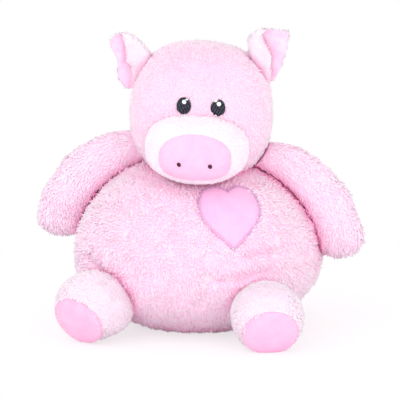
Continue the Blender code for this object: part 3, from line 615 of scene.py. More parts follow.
@dataclass(frozen=True)
class Finishes:
    """Every finish of the toy, by what it is used for."""

    pile: PileFinish = PileFinish(
        "pink pile", (0.985, 0.62, 0.83), (0.993, 0.80, 0.92), (0.993, 0.89, 0.955))
    # The arms' copy of the pink pile, deeper all over: painted shade on the arms.
    arm_pile: PileFinish = PileFinish(
        "arm pile", (0.985, 0.58, 0.81), (0.99, 0.76, 0.895), (0.99, 0.86, 0.94))
    pale_pile: PileFinish = PileFinish(
        "pale pile", (0.99, 0.79, 0.92), (0.998, 0.91, 0.97), (0.998, 0.95, 0.985))
    mid_pile: PileFinish = PileFinish(
        "ear pile", (0.99, 0.74, 0.90), (0.998, 0.885, 0.96), (0.998, 0.93, 0.98))
    # The grounds are deeper than their piles' tips: painted shade in the partings between tufts.
    ground: ClothFinish = ClothFinish(
        "pile ground", (0.99, 0.64, 0.84), (0.995, 0.75, 0.90), 300.0, 2500.0)
    pale_ground: ClothFinish = ClothFinish(
        "pale pile ground", (0.99, 0.80, 0.93), (0.995, 0.88, 0.96), 300.0, 2500.0)
    velour: ClothFinish = ClothFinish(
        "pink velour", (0.88, 0.45, 0.655), (0.92, 0.535, 0.72), 120.0, 1500.0)
    heart: ClothFinish = ClothFinish(
        "lilac velour", (0.86, 0.45, 0.69), (0.905, 0.52, 0.745), 120.0, 1500.0)
    # The ear velour's dark fold colour is painted shade, strongest under the flap.
    lining: ClothFinish = ClothFinish(
        "ear velour", (0.94, 0.56, 0.76), (0.97, 0.72, 0.87), 200.0, 1500.0, 0.0006,
        fold=(0.80, 0.22, 0.46), fold_share=0.95)
    wadding: ClothFinish = ClothFinish(
        "white wadding", (0.86, 0.85, 0.84), (0.95, 0.94, 0.93), 60.0, 900.0, 0.001)
    dark: ThreadFinish = ThreadFinish("dark thread", (0.006, 0.006, 0.011), (0.028, 0.028, 0.042))
    # A lighter grey thread for the painted glints along the eyes' dark satin.
    slate: ThreadFinish = ThreadFinish("slate thread", (0.05, 0.05, 0.075), (0.13, 0.13, 0.18))
    plum: ThreadFinish = ThreadFinish("plum thread", (0.05, 0.012, 0.03), (0.12, 0.04, 0.08))
    white: ThreadFinish = ThreadFinish("white thread", (0.86, 0.86, 0.88), (0.97, 0.97, 0.98))
    lilac: ThreadFinish = ThreadFinish("lilac thread", (0.58, 0.34, 0.60), (0.78, 0.50, 0.77))
    rose: ThreadFinish = ThreadFinish("rose thread", (0.80, 0.40, 0.62), (0.92, 0.56, 0.76))


class Bench:
    """The finishes made into materials, the shared trees, and how a piece is settled in the toy."""

    def __init__(self, finishes: Finishes) -> None:
        """Make the shared trees and every material."""
        nap = nap_group()
        self.pile_tree: Tree = pile_tree()
        self.thread_tree: Tree = thread_tree()
        self.paint: dict[str, bpy.types.Material] = {}
        for name, finish in vars(finishes).items():
            made = finish.material(nap) if isinstance(finish, ClothFinish) else finish.material()
            self.paint[name] = made

    def settle(self, piece: bpy.types.Object, body: str, slot: Slot, nodes: Sequence[str] = (),
               fill: float | None = None, bend: tuple[Vector, Vector] | None = None) -> bpy.types.Object:
        """Give a finished piece its body, its slot and the CAD nodes that it stands for.

        Args:
            piece: The finished piece.
            body: The CAD body that it rides on.
            slot: The record's slot of its finish.
            nodes: The CAD nodes that it replaces.
            fill: How full it is, where it is a padded piece.
            bend: Where its bend at the toy's body starts and ends, where it is sewn on there.

        Returns:
            The piece.
        """
        if bend is None:
            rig.ride(piece, body)
        else:
            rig.blend(piece, "body", body, *bend)
        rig.slot(piece, slot.value)
        if nodes:
            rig.replaces(piece, *nodes)
        if fill is not None:
            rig.padded(piece, fill=fill)
        LOG.info("%s: %d faces, on %s", piece.name, len(piece.data.polygons), body)
        return piece

    def dress(self, skin: bpy.types.Object, piles: Sequence[bpy.types.Object], body: str, slot: Slot,
              node: str, fill: float = 0.9, bend: tuple[Vector, Vector] | None = None) -> None:
        """Settle a padded skin, which stands for a CAD node, and the pile on it."""
        self.settle(skin, body, slot, [node], fill, bend)
        for pile in piles:
            self.settle(pile, body, slot, bend=bend)


# Forms


@dataclass(frozen=True)
class Rounded:
    """A stuffed form about a centre, boxier as its powers rise above 2."""

    centre: Vector
    turn: Matrix
    half_width: float
    half_depth: float
    rise: float
    drop: float
    rise_power: float
    drop_power: float
    plan_power: float

    def grown(self, by: float) -> Rounded:
        """The same form with its surface moved outwards."""
        return replace(self, half_width=self.half_width + by, half_depth=self.half_depth + by,
                       rise=self.rise + by, drop=self.drop + by)

    def local(self, places: Array) -> Array:
        """Places in the form's own directions from its centre."""
        return (places - np.array(self.centre)) @ np.array(self.turn)

    def world(self, ways: Array) -> Array:
        """The form's own directions as places."""
        return ways @ np.array(self.turn).T + np.array(self.centre)

    def fullness(self, ways: Array) -> Array:
        """How far out each vector from the centre reaches, where 1 is the surface."""
        x, y, z = np.abs(ways).T
        over = ways[:, 2] > 0
        power = np.where(over, self.rise_power, self.drop_power)
        across = (x / self.half_width) ** self.plan_power + (y / self.half_depth) ** self.plan_power
        up = z / np.where(over, self.rise, self.drop)
        return (across ** (power / self.plan_power) + up**power) ** (1 / power)

    def surface(self, ways: Array) -> Array:
        """The places on the surface in the form's own directions."""
        return self.world(ways / self.fullness(ways)[:, None])

    def outward(self, places: Array) -> Array:
        """The way out of the surface at each place."""
        ways = self.local(places)
        step = self.half_width * 0.001
        slopes = [self.fullness(ways + step * axis) - self.fullness(ways - step * axis)
                  for axis in np.eye(3)]
        out = np.stack(slopes, 1) @ np.array(self.turn).T
        return out / np.linalg.norm(out, axis=1, keepdims=True)

    def depth(self, places: Array) -> Array:
        """How far each place is outside the surface, negative inside, roughly in metres."""
        full = self.fullness(self.local(places))
        reach = np.linalg.norm(self.local(places), axis=1)
        return reach * (1 - 1 / np.maximum(full, 1e-6))

    def pushed_out(self, places: Array, gap: float = 0.0) -> Array:
        """The places, with those inside the form moved out to a gap from it."""
        big = self.grown(gap)
        ways = big.local(places)
        full = np.maximum(big.fullness(ways), 1e-3)
        return np.where((full < 1)[:, None], big.world(ways / full[:, None]), places)


def ball(level: int) -> tuple[Array, list[Face]]:
    """The directions and faces of an even ball of triangles."""
    bm = bmesh.new()
    bmesh.ops.create_icosphere(bm, subdivisions=level, radius=1.0)
    ways = np.array([vertex.co[:] for vertex in bm.verts])
    faces = [tuple(vertex.index for vertex in face.verts) for face in bm.faces]
    bm.free()
    return ways / np.linalg.norm(ways, axis=1, keepdims=True), faces


def mesh_object(name: str, places: Array, faces: Sequence[Face], finish: bpy.types.Material | None,
                edges: Sequence[tuple[int, int]] = ()) -> bpy.types.Object:
    """A mesh object at the origin, smooth shaded, with one finish."""
    mesh = bpy.data.meshes.new(name)
    mesh.from_pydata([tuple(place) for place in places.tolist()], list(edges), faces)
    if finish is not None:
        mesh.materials.append(finish)
    if len(faces):
        mesh.shade_smooth()
    made = bpy.data.objects.new(name, mesh)
    bpy.context.scene.collection.objects.link(made)
    return made


def points_of(piece: bpy.types.Object) -> Array:
    """The places of a piece's points."""
    return np.array([vertex.co[:] for vertex in piece.data.vertices])


def ring_faces(rings: int, count: int, start: int = 0) -> list[Face]:
    """The faces between neighbouring rings of points, from a first point on."""
    faces = []
    for ring in range(rings - 1):
        for here in range(count):
            a, b = (start + ring * count + step for step in (here, (here + 1) % count))
            faces.append((a, b, b + count, a + count))
    return faces


def lying(way: Array, out: Array) -> Array:
    """A way laid along the skin at each point, from the skin's way out there."""
    return way - out * (out @ way)[:, None]


def upright(out: Vector) -> Vector:
    """The way on a surface that is nearest to straight up, from the surface's way out."""
    return (Z - out * Z.dot(out)).normalized()


def outward_facing(piece: bpy.types.Object) -> bpy.types.Object:
    """The piece with all its faces pointing outwards."""
    bm = bmesh.new()
    bm.from_mesh(piece.data)
    bmesh.ops.recalc_face_normals(bm, faces=bm.faces[:])
    bm.to_mesh(piece.data)
    bm.free()
    return piece


def stuffed(name: str, form: Rounded, level: int, shape: Shape, finish: bpy.types.Material) -> bpy.types.Object:
    """A closed skin on a form, from a ball divided to a level, moved by a shape function."""
    ways, faces = ball(level)
    return mesh_object(name, shape(form.surface(ways)), faces, finish)


def swell(places: Array, out: Array, size: float, amount: float, seed: float) -> Array:
    """The places moved in and out along the way out, in soft lumps."""
    lift = [noise.noise(Vector(place) / size + Vector((seed, seed, seed))) for place in places.tolist()]
    return places + out * (np.array(lift) * amount)[:, None]


def distance(places: Array, line: Array) -> Array:
    """How far each place is from the nearest point of a line of points."""
    best = np.full(len(places), FAR)
    for spot in line:
        best = np.minimum(best, np.linalg.norm(places - spot, axis=1))
    return best


@dataclass(frozen=True)
class PaintedShade:
    """Painted shade: a place where the colour is made deeper because shade falls there beside other parts.

    Attributes:
        away: How far each place is from where the shade falls, in metres.
        amount: How much painted shade there is at its deepest, from 0 to 1.
        reach: How far from there the painted shade fades.
    """

    away: Callable[[Array], Array]
    amount: float
    reach: float = 0.005


def painted_shade_amount(places: Array, painted_shades: Sequence[PaintedShade]) -> Array:
    """How much painted shade there is at each place, from every shaded place near it."""
    deep = np.zeros(len(places))
    for fold in painted_shades:
        deep = np.maximum(deep, fold.amount * np.exp(-np.maximum(fold.away(places), 0) / fold.reach))
    return deep


def give(piece: bpy.types.Object, name: str, kind: str, values: Array, domain: str = "POINT") -> None:
    """Store an attribute on a piece."""
    layer = piece.data.attributes.new(name, kind, domain)
    layer.data.foreach_set("vector" if kind == "FLOAT_VECTOR" else "value", values.ravel())


def between(stations: Sequence[Sequence[float]], share: float, column: int = 1) -> float:
    """A value between the rows of a table, in a straight line from row to row.

    Args:
        stations: Rows of a share of the length and the values there.
        share: The share of the length.
        column: Which value of a row is read.

    Returns:
        The value at that share.
    """
    for low, high in zip(stations, stations[1:]):
        if share <= high[0]:
            part = (share - low[0]) / (high[0] - low[0])
            return low[column] + (high[column] - low[column]) * part
    return stations[-1][column]


@dataclass(frozen=True)
class Pile:
    """How the tufts of a pile fabric stand."""

    spacing: float
    length: float
    width: float
    stand: float = 0.7
    comb: float = 0.5
    ruffle: float = 3.4
    clump: float = 0.0038
    floor: float = 0.0002
    soft_share: float = 0.35

    def grow(self, bench: Bench, skin: bpy.types.Object, density: Array, comb: Array, height: Array,
             finish: str, painted_shades: Sequence[PaintedShade] = (), patches: Array | None = None) -> list[bpy.types.Object]:
        """Cover a skin with tufts.

        Args:
            bench: The shared trees and finishes.
            skin: The skin that they stand on.
            density: How thickly they stand at each of the skin's points, from 0 to 1.
            comb: The way that they are combed at each point.
            height: How long they are at each point, as a share of the full length.
            finish: The name of their finish.
            painted_shades: Where painted shade falls on the pile, beside what lies next to it.
            patches: The number of the piece that the tufts of each face go to.

        Returns:
            The pieces of pile, one for each patch.
        """
        if patches is None:
            patches = np.zeros(len(skin.data.polygons), int)
        # The painted shade's amount at each point, which the tufts carry into their bake map.
        give(skin, "deep", "FLOAT", painted_shade_amount(points_of(skin), painted_shades))
        give(skin, "density", "FLOAT", density)
        give(skin, "comb", "FLOAT_VECTOR", comb)
        give(skin, "height", "FLOAT", height)
        give(skin, "patch", "INT", patches, "FACE")
        made = []
        for patch in sorted(set(patches.tolist())):
            label = skin.name.replace("_skin", "_pile") + (f"_{patch}" if patches.any() else "")
            pile = grown_by_tree(label, skin, bench.pile_tree, {
                "Patch": patch, "Spacing": self.spacing, "Length": self.length, "Width": self.width,
                "Stand": self.stand, "Comb": self.comb, "Ruffle": self.ruffle, "Clump": self.clump,
                "Floor": self.floor, "Seed": patch + 11, "Finish": bench.paint[finish],
            })
            self.soften(pile.data)
            made.append(pile)
        for name in ("density", "comb", "height", "patch"):
            skin.data.attributes.remove(skin.data.attributes[name])
        return made

    def soften(self, mesh: bpy.types.Mesh) -> None:
        """Turn the tufts' shading towards the skin's, as soft pile shades as one surface."""
        count = len(mesh.vertices)
        own, skin = np.zeros(count * 3), np.zeros(count * 3)
        mesh.vertex_normals.foreach_get("vector", own)
        mesh.attributes["skin_way"].data.foreach_get("vector", skin)
        mesh.attributes.remove(mesh.attributes["skin_way"])
        ways = own.reshape(-1, 3) * (1 - self.soft_share) + skin.reshape(-1, 3) * self.soft_share
        ways /= np.maximum(np.linalg.norm(ways, axis=1, keepdims=True), 1e-6)
        mesh.normals_split_custom_set_from_vertices(ways.tolist())


@dataclass(frozen=True)
class Patch:
    """A flat outline laid on a form: its middle, its ways and where a point of it lands."""

    form: Rounded
    middle: Vector
    across: Vector
    up: Vector
    out: Vector

    def seen(self, places: Array) -> tuple[Array, Array, Array]:
        """How far each place lies across, up and out from the middle."""
        off = places - np.array(self.middle)
        return off @ np.array(self.across), off @ np.array(self.up), off @ np.array(self.out)

    def on_form(self, flat: Array, lift: Array | float) -> Array:
        """Points of the outline's plane as places on the form, lifted off it.

        Args:
            flat: Pairs of across and up, in metres.
            lift: How far off the form each point stands.

        Returns:
            The places.
        """
        middle, across, up, out = map(np.array, (self.middle, self.across, self.up, self.out))
        base = middle + flat[:, :1] * across + flat[:, 1:] * up
        low, high = np.full(len(flat), -0.03), np.full(len(flat), 0.03)
        for _ in range(24):
            half = (low + high) / 2
            inside = self.form.fullness(self.form.local(base + half[:, None] * out)) < 1
            low, high = np.where(inside, half, low), np.where(inside, high, half)
        places = base + low[:, None] * out
        return places + self.form.outward(places) * np.broadcast_to(lift, len(flat))[:, None]

    def pad(self, name: str, outline: Array, rings: int, puff: Callable[[Array], Array], sunk: float,
            finish: bpy.types.Material) -> bpy.types.Object:
        """A closed pad cut to an outline, with its top puffed and its back sunk.

        Args:
            name: The piece's name.
            outline: Pairs of across and up round the edge.
            rings: How many rings of faces run from the edge to the middle.
            puff: How high the top stands, from shares that are 1 at the edge and 0 in the middle.
            sunk: How far the back is sunk into what carries it.
            finish: The material.

        Returns:
            The pad.
        """
        count = len(outline)
        shares = np.cos(np.linspace(0, math.pi / 2, rings + 1)[:-1]) ** 0.8
        centre = outline.mean(0)
        flat = np.concatenate([centre + (outline - centre) * share for share in shares] + [centre[None]])
        top = self.on_form(flat, puff(np.append(np.repeat(shares, count), 0.0)))
        back = self.on_form(flat, -sunk)
        return closed_pad(name, top, back, count, finish)


def closed_pad(name: str, top: Array, back: Array, count: int, finish: bpy.types.Material) -> bpy.types.Object:
    """A pad between a top and a back, each of rings of points that run in to one point."""
    faces: list[Face] = []
    rings = len(top) // count
    for start, way in ((0, 1), (len(top), -1)):
        last = start + (rings - 1) * count
        tips = [(last + here, last + (here + 1) % count, start + rings * count) for here in range(count)]
        faces += [face[::way] for face in ring_faces(rings, count, start) + tips]
    for here in range(count):
        after = (here + 1) % count
        faces.append((here, len(top) + here, len(top) + after, after))
    return outward_facing(mesh_object(name, np.concatenate([top, back]), faces, finish))


def oval_outline(width: float, height: float, count: int = 64) -> Array:
    """An oval as pairs of across and up."""
    turns = np.linspace(0, 2 * math.pi, count, endpoint=False)
    return np.stack([np.cos(turns) * width / 2, np.sin(turns) * height / 2], 1)


def threads(bench: Bench, name: str, lines: Sequence[Array], radius: float, finish: str,
            sides: int = 6) -> bpy.types.Object:
    """One piece of thread that follows every line."""
    places = np.concatenate(lines)
    edges, start = [], 0
    for line in lines:
        edges += [(start + step, start + step + 1) for step in range(len(line) - 1)]
        start += len(line)
    guide = mesh_object(name + "_lines", places, [], None, edges)
    made = grown_by_tree(name, guide, bench.thread_tree, {
        "Radius": radius, "Sides": sides, "Finish": bench.paint[finish],
    })
    bpy.data.objects.remove(guide)
    return made


def satin(patch: Patch, outline: Array, pitch: float, slant: float, lift: float, bulge: float) -> list[Array]:
    """Lines of satin stitch side by side across an outline.

    Args:
        patch: Where the outline lies.
        outline: The outline that they fill.
        pitch: The distance between neighbouring threads.
        slant: The angle of the threads from level.
        lift: How far off the form they start.
        bulge: How much higher they stand in their middle.

    Returns:
        The lines, one for each thread.
    """
    along = np.array([math.cos(slant), math.sin(slant)])
    aside = np.array([-along[1], along[0]])
    reach = outline @ aside
    lines = []
    for place in np.arange(reach.min() + pitch / 2, reach.max(), pitch):
        sides = reach - place
        crossings = []
        for here in range(len(outline)):
            after = (here + 1) % len(outline)
            if sides[here] * sides[after] < 0:
                part = sides[here] / (sides[here] - sides[after])
                crossings.append(float((outline[here] + (outline[after] - outline[here]) * part) @ along))
        if len(crossings) < 2:
            continue
        shares = np.linspace(0, 1, 7)
        runs = min(crossings) + (max(crossings) - min(crossings)) * shares
        flat = runs[:, None] * along + place * aside
        rise = bulge * np.sin(shares * math.pi) ** 0.5
        lines.append(patch.on_form(flat, lift + rise - SATIN_DIP * (np.abs(shares - 0.5) > 0.49)))
    return lines


# The toy's pieces


@dataclass(frozen=True)
class Side:
    """What differs between the viewer's left and right."""

    name: str
    way: int
    shoulder_out: float
    shoulder_up: float
    arm_droop: float
    foot_out: float
    foot_forward: float
    foot_lift: float
    foot_yaw: float
    ear_set: float
    ear_lean: float
    ear_turn: float
    ear_inset: float
    # How much painted shade falls on the body beside this side's arm.
    fold: float


LEFT = Side("left", -1, 0.0445, 0.0795, 0.0, 0.0685, 0.084, 0.0025, math.radians(28),
            math.radians(23), math.radians(12), math.radians(10), 0.0015, 0.7)
RIGHT = Side("right", 1, 0.0500, 0.0745, math.radians(5), 0.0715, 0.0915, 0.0, math.radians(17),
             math.radians(36), math.radians(3), math.radians(16), 0.0, 1.0)

BODY_PILE = Pile(spacing=0.0014, length=0.0034, width=0.0010, ruffle=3.0)
HEAD_PILE = Pile(spacing=0.0012, length=0.0026, width=0.0008, comb=0.9, ruffle=1.7)
PALE_PILE = Pile(spacing=0.0012, length=0.0022, width=0.0008, comb=0.9, ruffle=1.3)


def seat() -> Vector:
    """Where the toy's own middle stands, from the body's CAD box."""
    low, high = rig.box("body_cover")
    return Vector(((low.x + high.x) / 2, (low.y + high.y) / 2, 0.0))


@dataclass(frozen=True)
class Body:
    """The body: a squat ball of pile fabric that sits flat, with its heart and its tail."""

    width: float = 0.196
    depth: float = 0.188
    rise: float = 0.078
    drop: float = BODY_DROP
    powers: tuple[float, float, float] = (2.05, 2.4, 2.25)
    inset: float = 0.0022
    heart_width: float = 0.049
    heart_height: float = 0.0565
    heart_bearing: float = math.radians(29)
    heart_pitch: float = math.radians(28)
    heart_lean: float = math.radians(-2)
    crease_depth: float = 0.0034
    crease_reach: float = 0.0042
    creases: tuple = (((12, -1), (20, -3.5), (30, -3), (38, -1.3), (46, 0)),
                      ((34, 7.5), (42, 8.4), (50, 8.2), (58, 9)),
                      ((9, -18), (12, -10), (14, -4)),
                      ((-52, 2), (-44, -1), (-38, -8), (-35, -16)))
    tail_curl: float = 0.007
    tail_rise: float = 0.007
    tail_back: float = 0.016
    tail_sunk: float = 0.004
    tail_radius: float = 0.0020
    tail_taper: float = 0.0008

    def form(self) -> Rounded:
        """The body's CAD surface."""
        return Rounded(seat() + Vector((0, 0, self.drop)), Matrix.Identity(3), self.width / 2, self.depth / 2,
                       self.rise, self.drop + FLAT_SEAT, *self.powers)

    @staticmethod
    def bearings(bearing: Array | float, pitch: Array | float) -> Array:
        """Ways from the body's centre, by their bearing from the front and their pitch."""
        level = np.cos(pitch)
        return np.stack([level * np.sin(bearing), -level * np.cos(bearing), np.sin(pitch)], -1)

    def heart_patch(self) -> Patch:
        """Where the heart is sewn on."""
        form = self.form().grown(-self.inset)
        middle = form.surface(self.bearings(self.heart_bearing, self.heart_pitch)[None])
        out = Vector(form.outward(middle)[0])
        up = Matrix.Rotation(self.heart_lean, 3, out) @ upright(out)
        return Patch(form, Vector(middle[0]), up.cross(out), up, out)

    def heart_outline(self, count: int = 96) -> Array:
        """The heart's edge, as even steps of across and up."""
        half = [(0.0, -0.50), (0.14, -0.395), (0.26, -0.29), (0.37, -0.185), (0.45, -0.08), (0.49, 0.03),
                (0.497, 0.18), (0.47, 0.30), (0.41, 0.40), (0.30, 0.475), (0.18, 0.495),
                (0.07, 0.45), (0.0, 0.385)]
        pairs = half + [(-x, y) for x, y in half[-2:0:-1]]
        loop = np.array(pairs + pairs[:1]) * [self.heart_width, self.heart_height]
        run = np.append(0, np.cumsum(np.linalg.norm(np.diff(loop, axis=0), axis=1)))
        even = np.linspace(0, run[-1], count, endpoint=False)
        return np.stack([np.interp(even, run, loop[:, 0]), np.interp(even, run, loop[:, 1])], 1)

    def crease_lines(self) -> list[Array]:
        """The creases as lines of places on the body's surface."""
        lines = []
        for pairs in self.creases:
            steps = np.linspace(0, len(pairs) - 1, 24)
            bearing, pitch = (np.radians(np.interp(steps, range(len(pairs)), column)) for column in zip(*pairs))
            lines.append(self.form().surface(self.bearings(bearing, pitch)))
        return lines

    def build(self, bench: Bench, neighbours: Sequence[Rounded], over: Sequence[Rounded],
              neck: tuple[Array, Array], painted_shades: Sequence[PaintedShade]) -> None:
        """Build the body, its pile, stuffing, heart and tail.

        Args:
            bench: The shared trees and finishes.
            neighbours: The forms that hide parts of the body.
            over: The forms that turn above the body, which press its pile down.
            neck: A place on the neck's seam and the way up the neck.
            painted_shades: Where painted shade falls on the body's pile, beside what lies next to it.
        """
        form = self.form().grown(-self.inset)
        creases = self.crease_lines()

        def shape(places: Array) -> Array:
            """Lumps, the flat seat and the neck's seam."""
            moved = swell(places, form.outward(places), 0.045, 0.0022, 3.1)
            moved = swell(moved, form.outward(places), 0.017, 0.0009, 7.7)
            for line in creases:
                share = np.exp(-(distance(places, line) / self.crease_reach) ** 2)
                moved = moved - form.outward(places) * (share * self.crease_depth)[:, None]
            past = np.maximum((moved - neck[0]) @ neck[1], 0)
            moved = moved - past[:, None] * neck[1]
            moved[:, 2] -= self.inset * np.clip(1.2 - moved[:, 2] / 0.012, 0, 1)
            moved[:, 2] = np.maximum(moved[:, 2], FLOOR_SKIN)
            return moved

        skin = stuffed("body_skin", form, 7, shape, bench.paint["ground"])
        places = points_of(skin)
        density = np.ones(len(places))
        for near in neighbours:
            density *= near.depth(places) > -0.003
        height = np.ones(len(places))
        for above in over:
            density *= above.depth(places) > 0.0005
            height = np.minimum(height, np.clip(above.depth(places) / 0.005, 0.35, 1))
        density *= self.heart_bare(places)
        density *= (places - neck[0]) @ neck[1] < -0.0015
        density *= places[:, 2] > ABOVE_FLOOR
        comb = lying(np.array([0.0, 0.0, -1.0]), form.outward(places))
        middles = np.array([face.center[:] for face in skin.data.polygons]) - np.array(form.centre)
        turns = np.arctan2(middles[:, 0], -middles[:, 1])
        patches = np.floor((turns / math.pi + 1) * 2.999).astype(int)
        # Painted shade along the creases, and darker towards the floor.
        shade_paint = [PaintedShade(lambda spots, line=line: distance(spots, line), 0.5, 0.004) for line in creases]
        shade_paint.append(PaintedShade(lambda spots: spots[:, 2], 0.5, 0.009))
        piles = BODY_PILE.grow(bench, skin, density, comb, height, "pile", [*painted_shades, *shade_paint], patches)
        bench.dress(skin, piles, "body", Slot.PILE, "body_cover")
        wadding(bench, "body", "body", self.form(), 5, neck)
        self.build_heart(bench)
        self.build_tail(bench)

    def heart_bare(self, places: Array) -> Array:
        """Where the pile is clear of the heart: 0 under it and 1 outside it."""
        x, y, out = self.heart_patch().seen(places)
        outline = self.heart_outline() * 0.97
        inside = np.zeros(len(places), bool)
        for (ax, ay), (bx, by) in zip(outline, np.roll(outline, -1, 0)):
            crosses = (ay > y) != (by > y)
            slope = (y - ay) / (by - ay if by != ay else 1e-9)
            inside ^= crosses & (x < ax + slope * (bx - ax))
        inside &= out > -0.02
        return np.where(inside, 0.0, 1.0)

    def build_heart(self, bench: Bench) -> None:
        """The velour heart and the zigzag that holds its edge."""
        patch = self.heart_patch()
        outline = self.heart_outline()

        def puff(share: Array) -> Array:
            """A low cushion that is drawn down at its edge."""
            return 0.0016 + 0.0010 * (1 - np.minimum(share, 1) ** 8)

        heart = patch.pad("heart_velour", outline, 14, puff, 0.001, bench.paint["heart"])
        bench.settle(heart, "body", Slot.HEART, ["heart"])
        edge = self.heart_outline(118)
        centre = edge.mean(0)
        ahead = np.roll(edge, -1, 0) - np.roll(edge, 1, 0)
        aside = np.stack([ahead[:, 1], -ahead[:, 0]], 1) / np.linalg.norm(ahead, axis=1, keepdims=True)
        aside *= np.sign(((edge - centre) * aside).sum(1, keepdims=True).mean())
        outer = np.arange(len(edge)) % 2 == 0
        swing, lift = np.where(outer, 0.0010, -0.0019), np.where(outer, 0.0024, 0.0031)
        line = patch.on_form(edge + aside * swing[:, None], lift)
        stitches = threads(bench, "heart_stitches", [np.concatenate([line, line[:1]])], 0.00034, "lilac")
        bench.settle(stitches, "body", Slot.HEART)

    def build_tail(self, bench: Bench) -> None:
        """The small curled tail on the back."""
        form = self.form()
        ways = np.array([[0.0, self.depth / 2, -0.012]])
        root = form.surface(ways)[0]
        rings, count, steps = [], 20, 48
        line = []
        for step in range(steps + 1):
            share = step / steps
            turn = 2 * math.pi * 1.25 * share
            curl = self.tail_curl * min(1.0, share / 0.5)
            line.append(root + np.array([curl * math.sin(turn), self.tail_back * share - self.tail_sunk,
                                         self.tail_rise * share + curl * (1 - math.cos(turn)) / 2]))
        line = np.array(line)
        for step in range(steps + 1):
            ahead = line[min(step + 1, steps)] - line[max(step - 1, 0)]
            ahead /= np.linalg.norm(ahead)
            across = np.cross(ahead, [0.0, 0.0, 1.0])
            across /= np.linalg.norm(across)
            radius = self.tail_radius - self.tail_taper * step / steps
            end = math.sqrt(max(0.0, 1 - max(0.0, (step / steps - 0.93) / 0.07) ** 2))
            turns = np.linspace(0, 2 * math.pi, count, endpoint=False)[:, None]
            ring = np.cos(turns) * across + np.sin(turns) * np.cross(ahead, across)
            rings.append(line[step] + ring * radius * max(end, 0.1))
        skin = tube("tail_skin", np.array(rings), bench.paint["ground"])
        places = points_of(skin)
        comb = np.repeat(np.gradient(line, axis=0), count, 0)
        comb = np.concatenate([comb, comb[:1], comb[-1:]])
        comb /= np.linalg.norm(comb, axis=1, keepdims=True)
        pile = replace(PALE_PILE, spacing=0.0011, length=0.0018, width=0.0006, comb=1.2)
        ones = np.ones(len(places))
        density = ones * (form.depth(places) > -0.001)
        # Painted shade where the tail meets the body.
        made = pile.grow(bench, skin, density, comb, ones, "pile", [PaintedShade(form.depth, 0.5, 0.003)])
        bench.dress(skin, made, "body", Slot.PILE, "tail")


def tube(name: str, rings: Array, finish: bpy.types.Material) -> bpy.types.Object:
    """A closed tube through rings of points, with its ends drawn to points.

    Args:
        name: The piece's name.
        rings: Rings of places, all of one count.
        finish: The material.

    Returns:
        The tube.
    """
    steps, count = rings.shape[:2]
    places = np.concatenate([rings.reshape(-1, 3), rings[0].mean(0)[None], rings[-1].mean(0)[None]])
    faces = ring_faces(steps, count)
    last = (steps - 1) * count
    for here in range(count):
        after = (here + 1) % count
        faces.append((after, here, steps * count))
        faces.append((last + here, last + after, steps * count + 1))
    return outward_facing(mesh_object(name, places, faces, finish))


def wadding(bench: Bench, part: str, body: str, cover: Rounded, level: int,
            plane: tuple[Array, Array] | None = None, shape: Shape | None = None) -> None:
    """Settle a part's stuffing: a lumpy fill a little smaller than its cover.

    Args:
        bench: The shared trees and finishes.
        part: The part's name.
        body: The CAD body that it rides on.
        cover: The cover's outside.
        level: How finely the ball that it comes from is divided.
        plane: A place on the seam that cuts it and the way out through it.
        shape: Moves its places clear of what lies next to it.
    """
    form = cover.grown(-CLOTH - SEAM)

    def lumpy(places: Array) -> Array:
        """Tufts of wadding, held in by the cover and cut at a seam."""
        out = form.outward(places)
        moved = swell(places - out * 0.0012, out, 0.012, 0.0018, 1.3)
        if plane is not None:
            over = np.maximum((moved - plane[0]) @ plane[1] + 0.001, 0)
            moved = moved - over[:, None] * plane[1]
        if shape is not None:
            moved = shape(moved)
        moved[:, 2] = np.maximum(moved[:, 2], CLOTH)
        return moved

    made = stuffed(f"{part}_wadding", form, level, lumpy, bench.paint["wadding"])
    first, *side = part.split("_")
    bench.settle(made, body, Slot.STUFFING, ["_".join([first, "stuffing", *side])], 0.9)


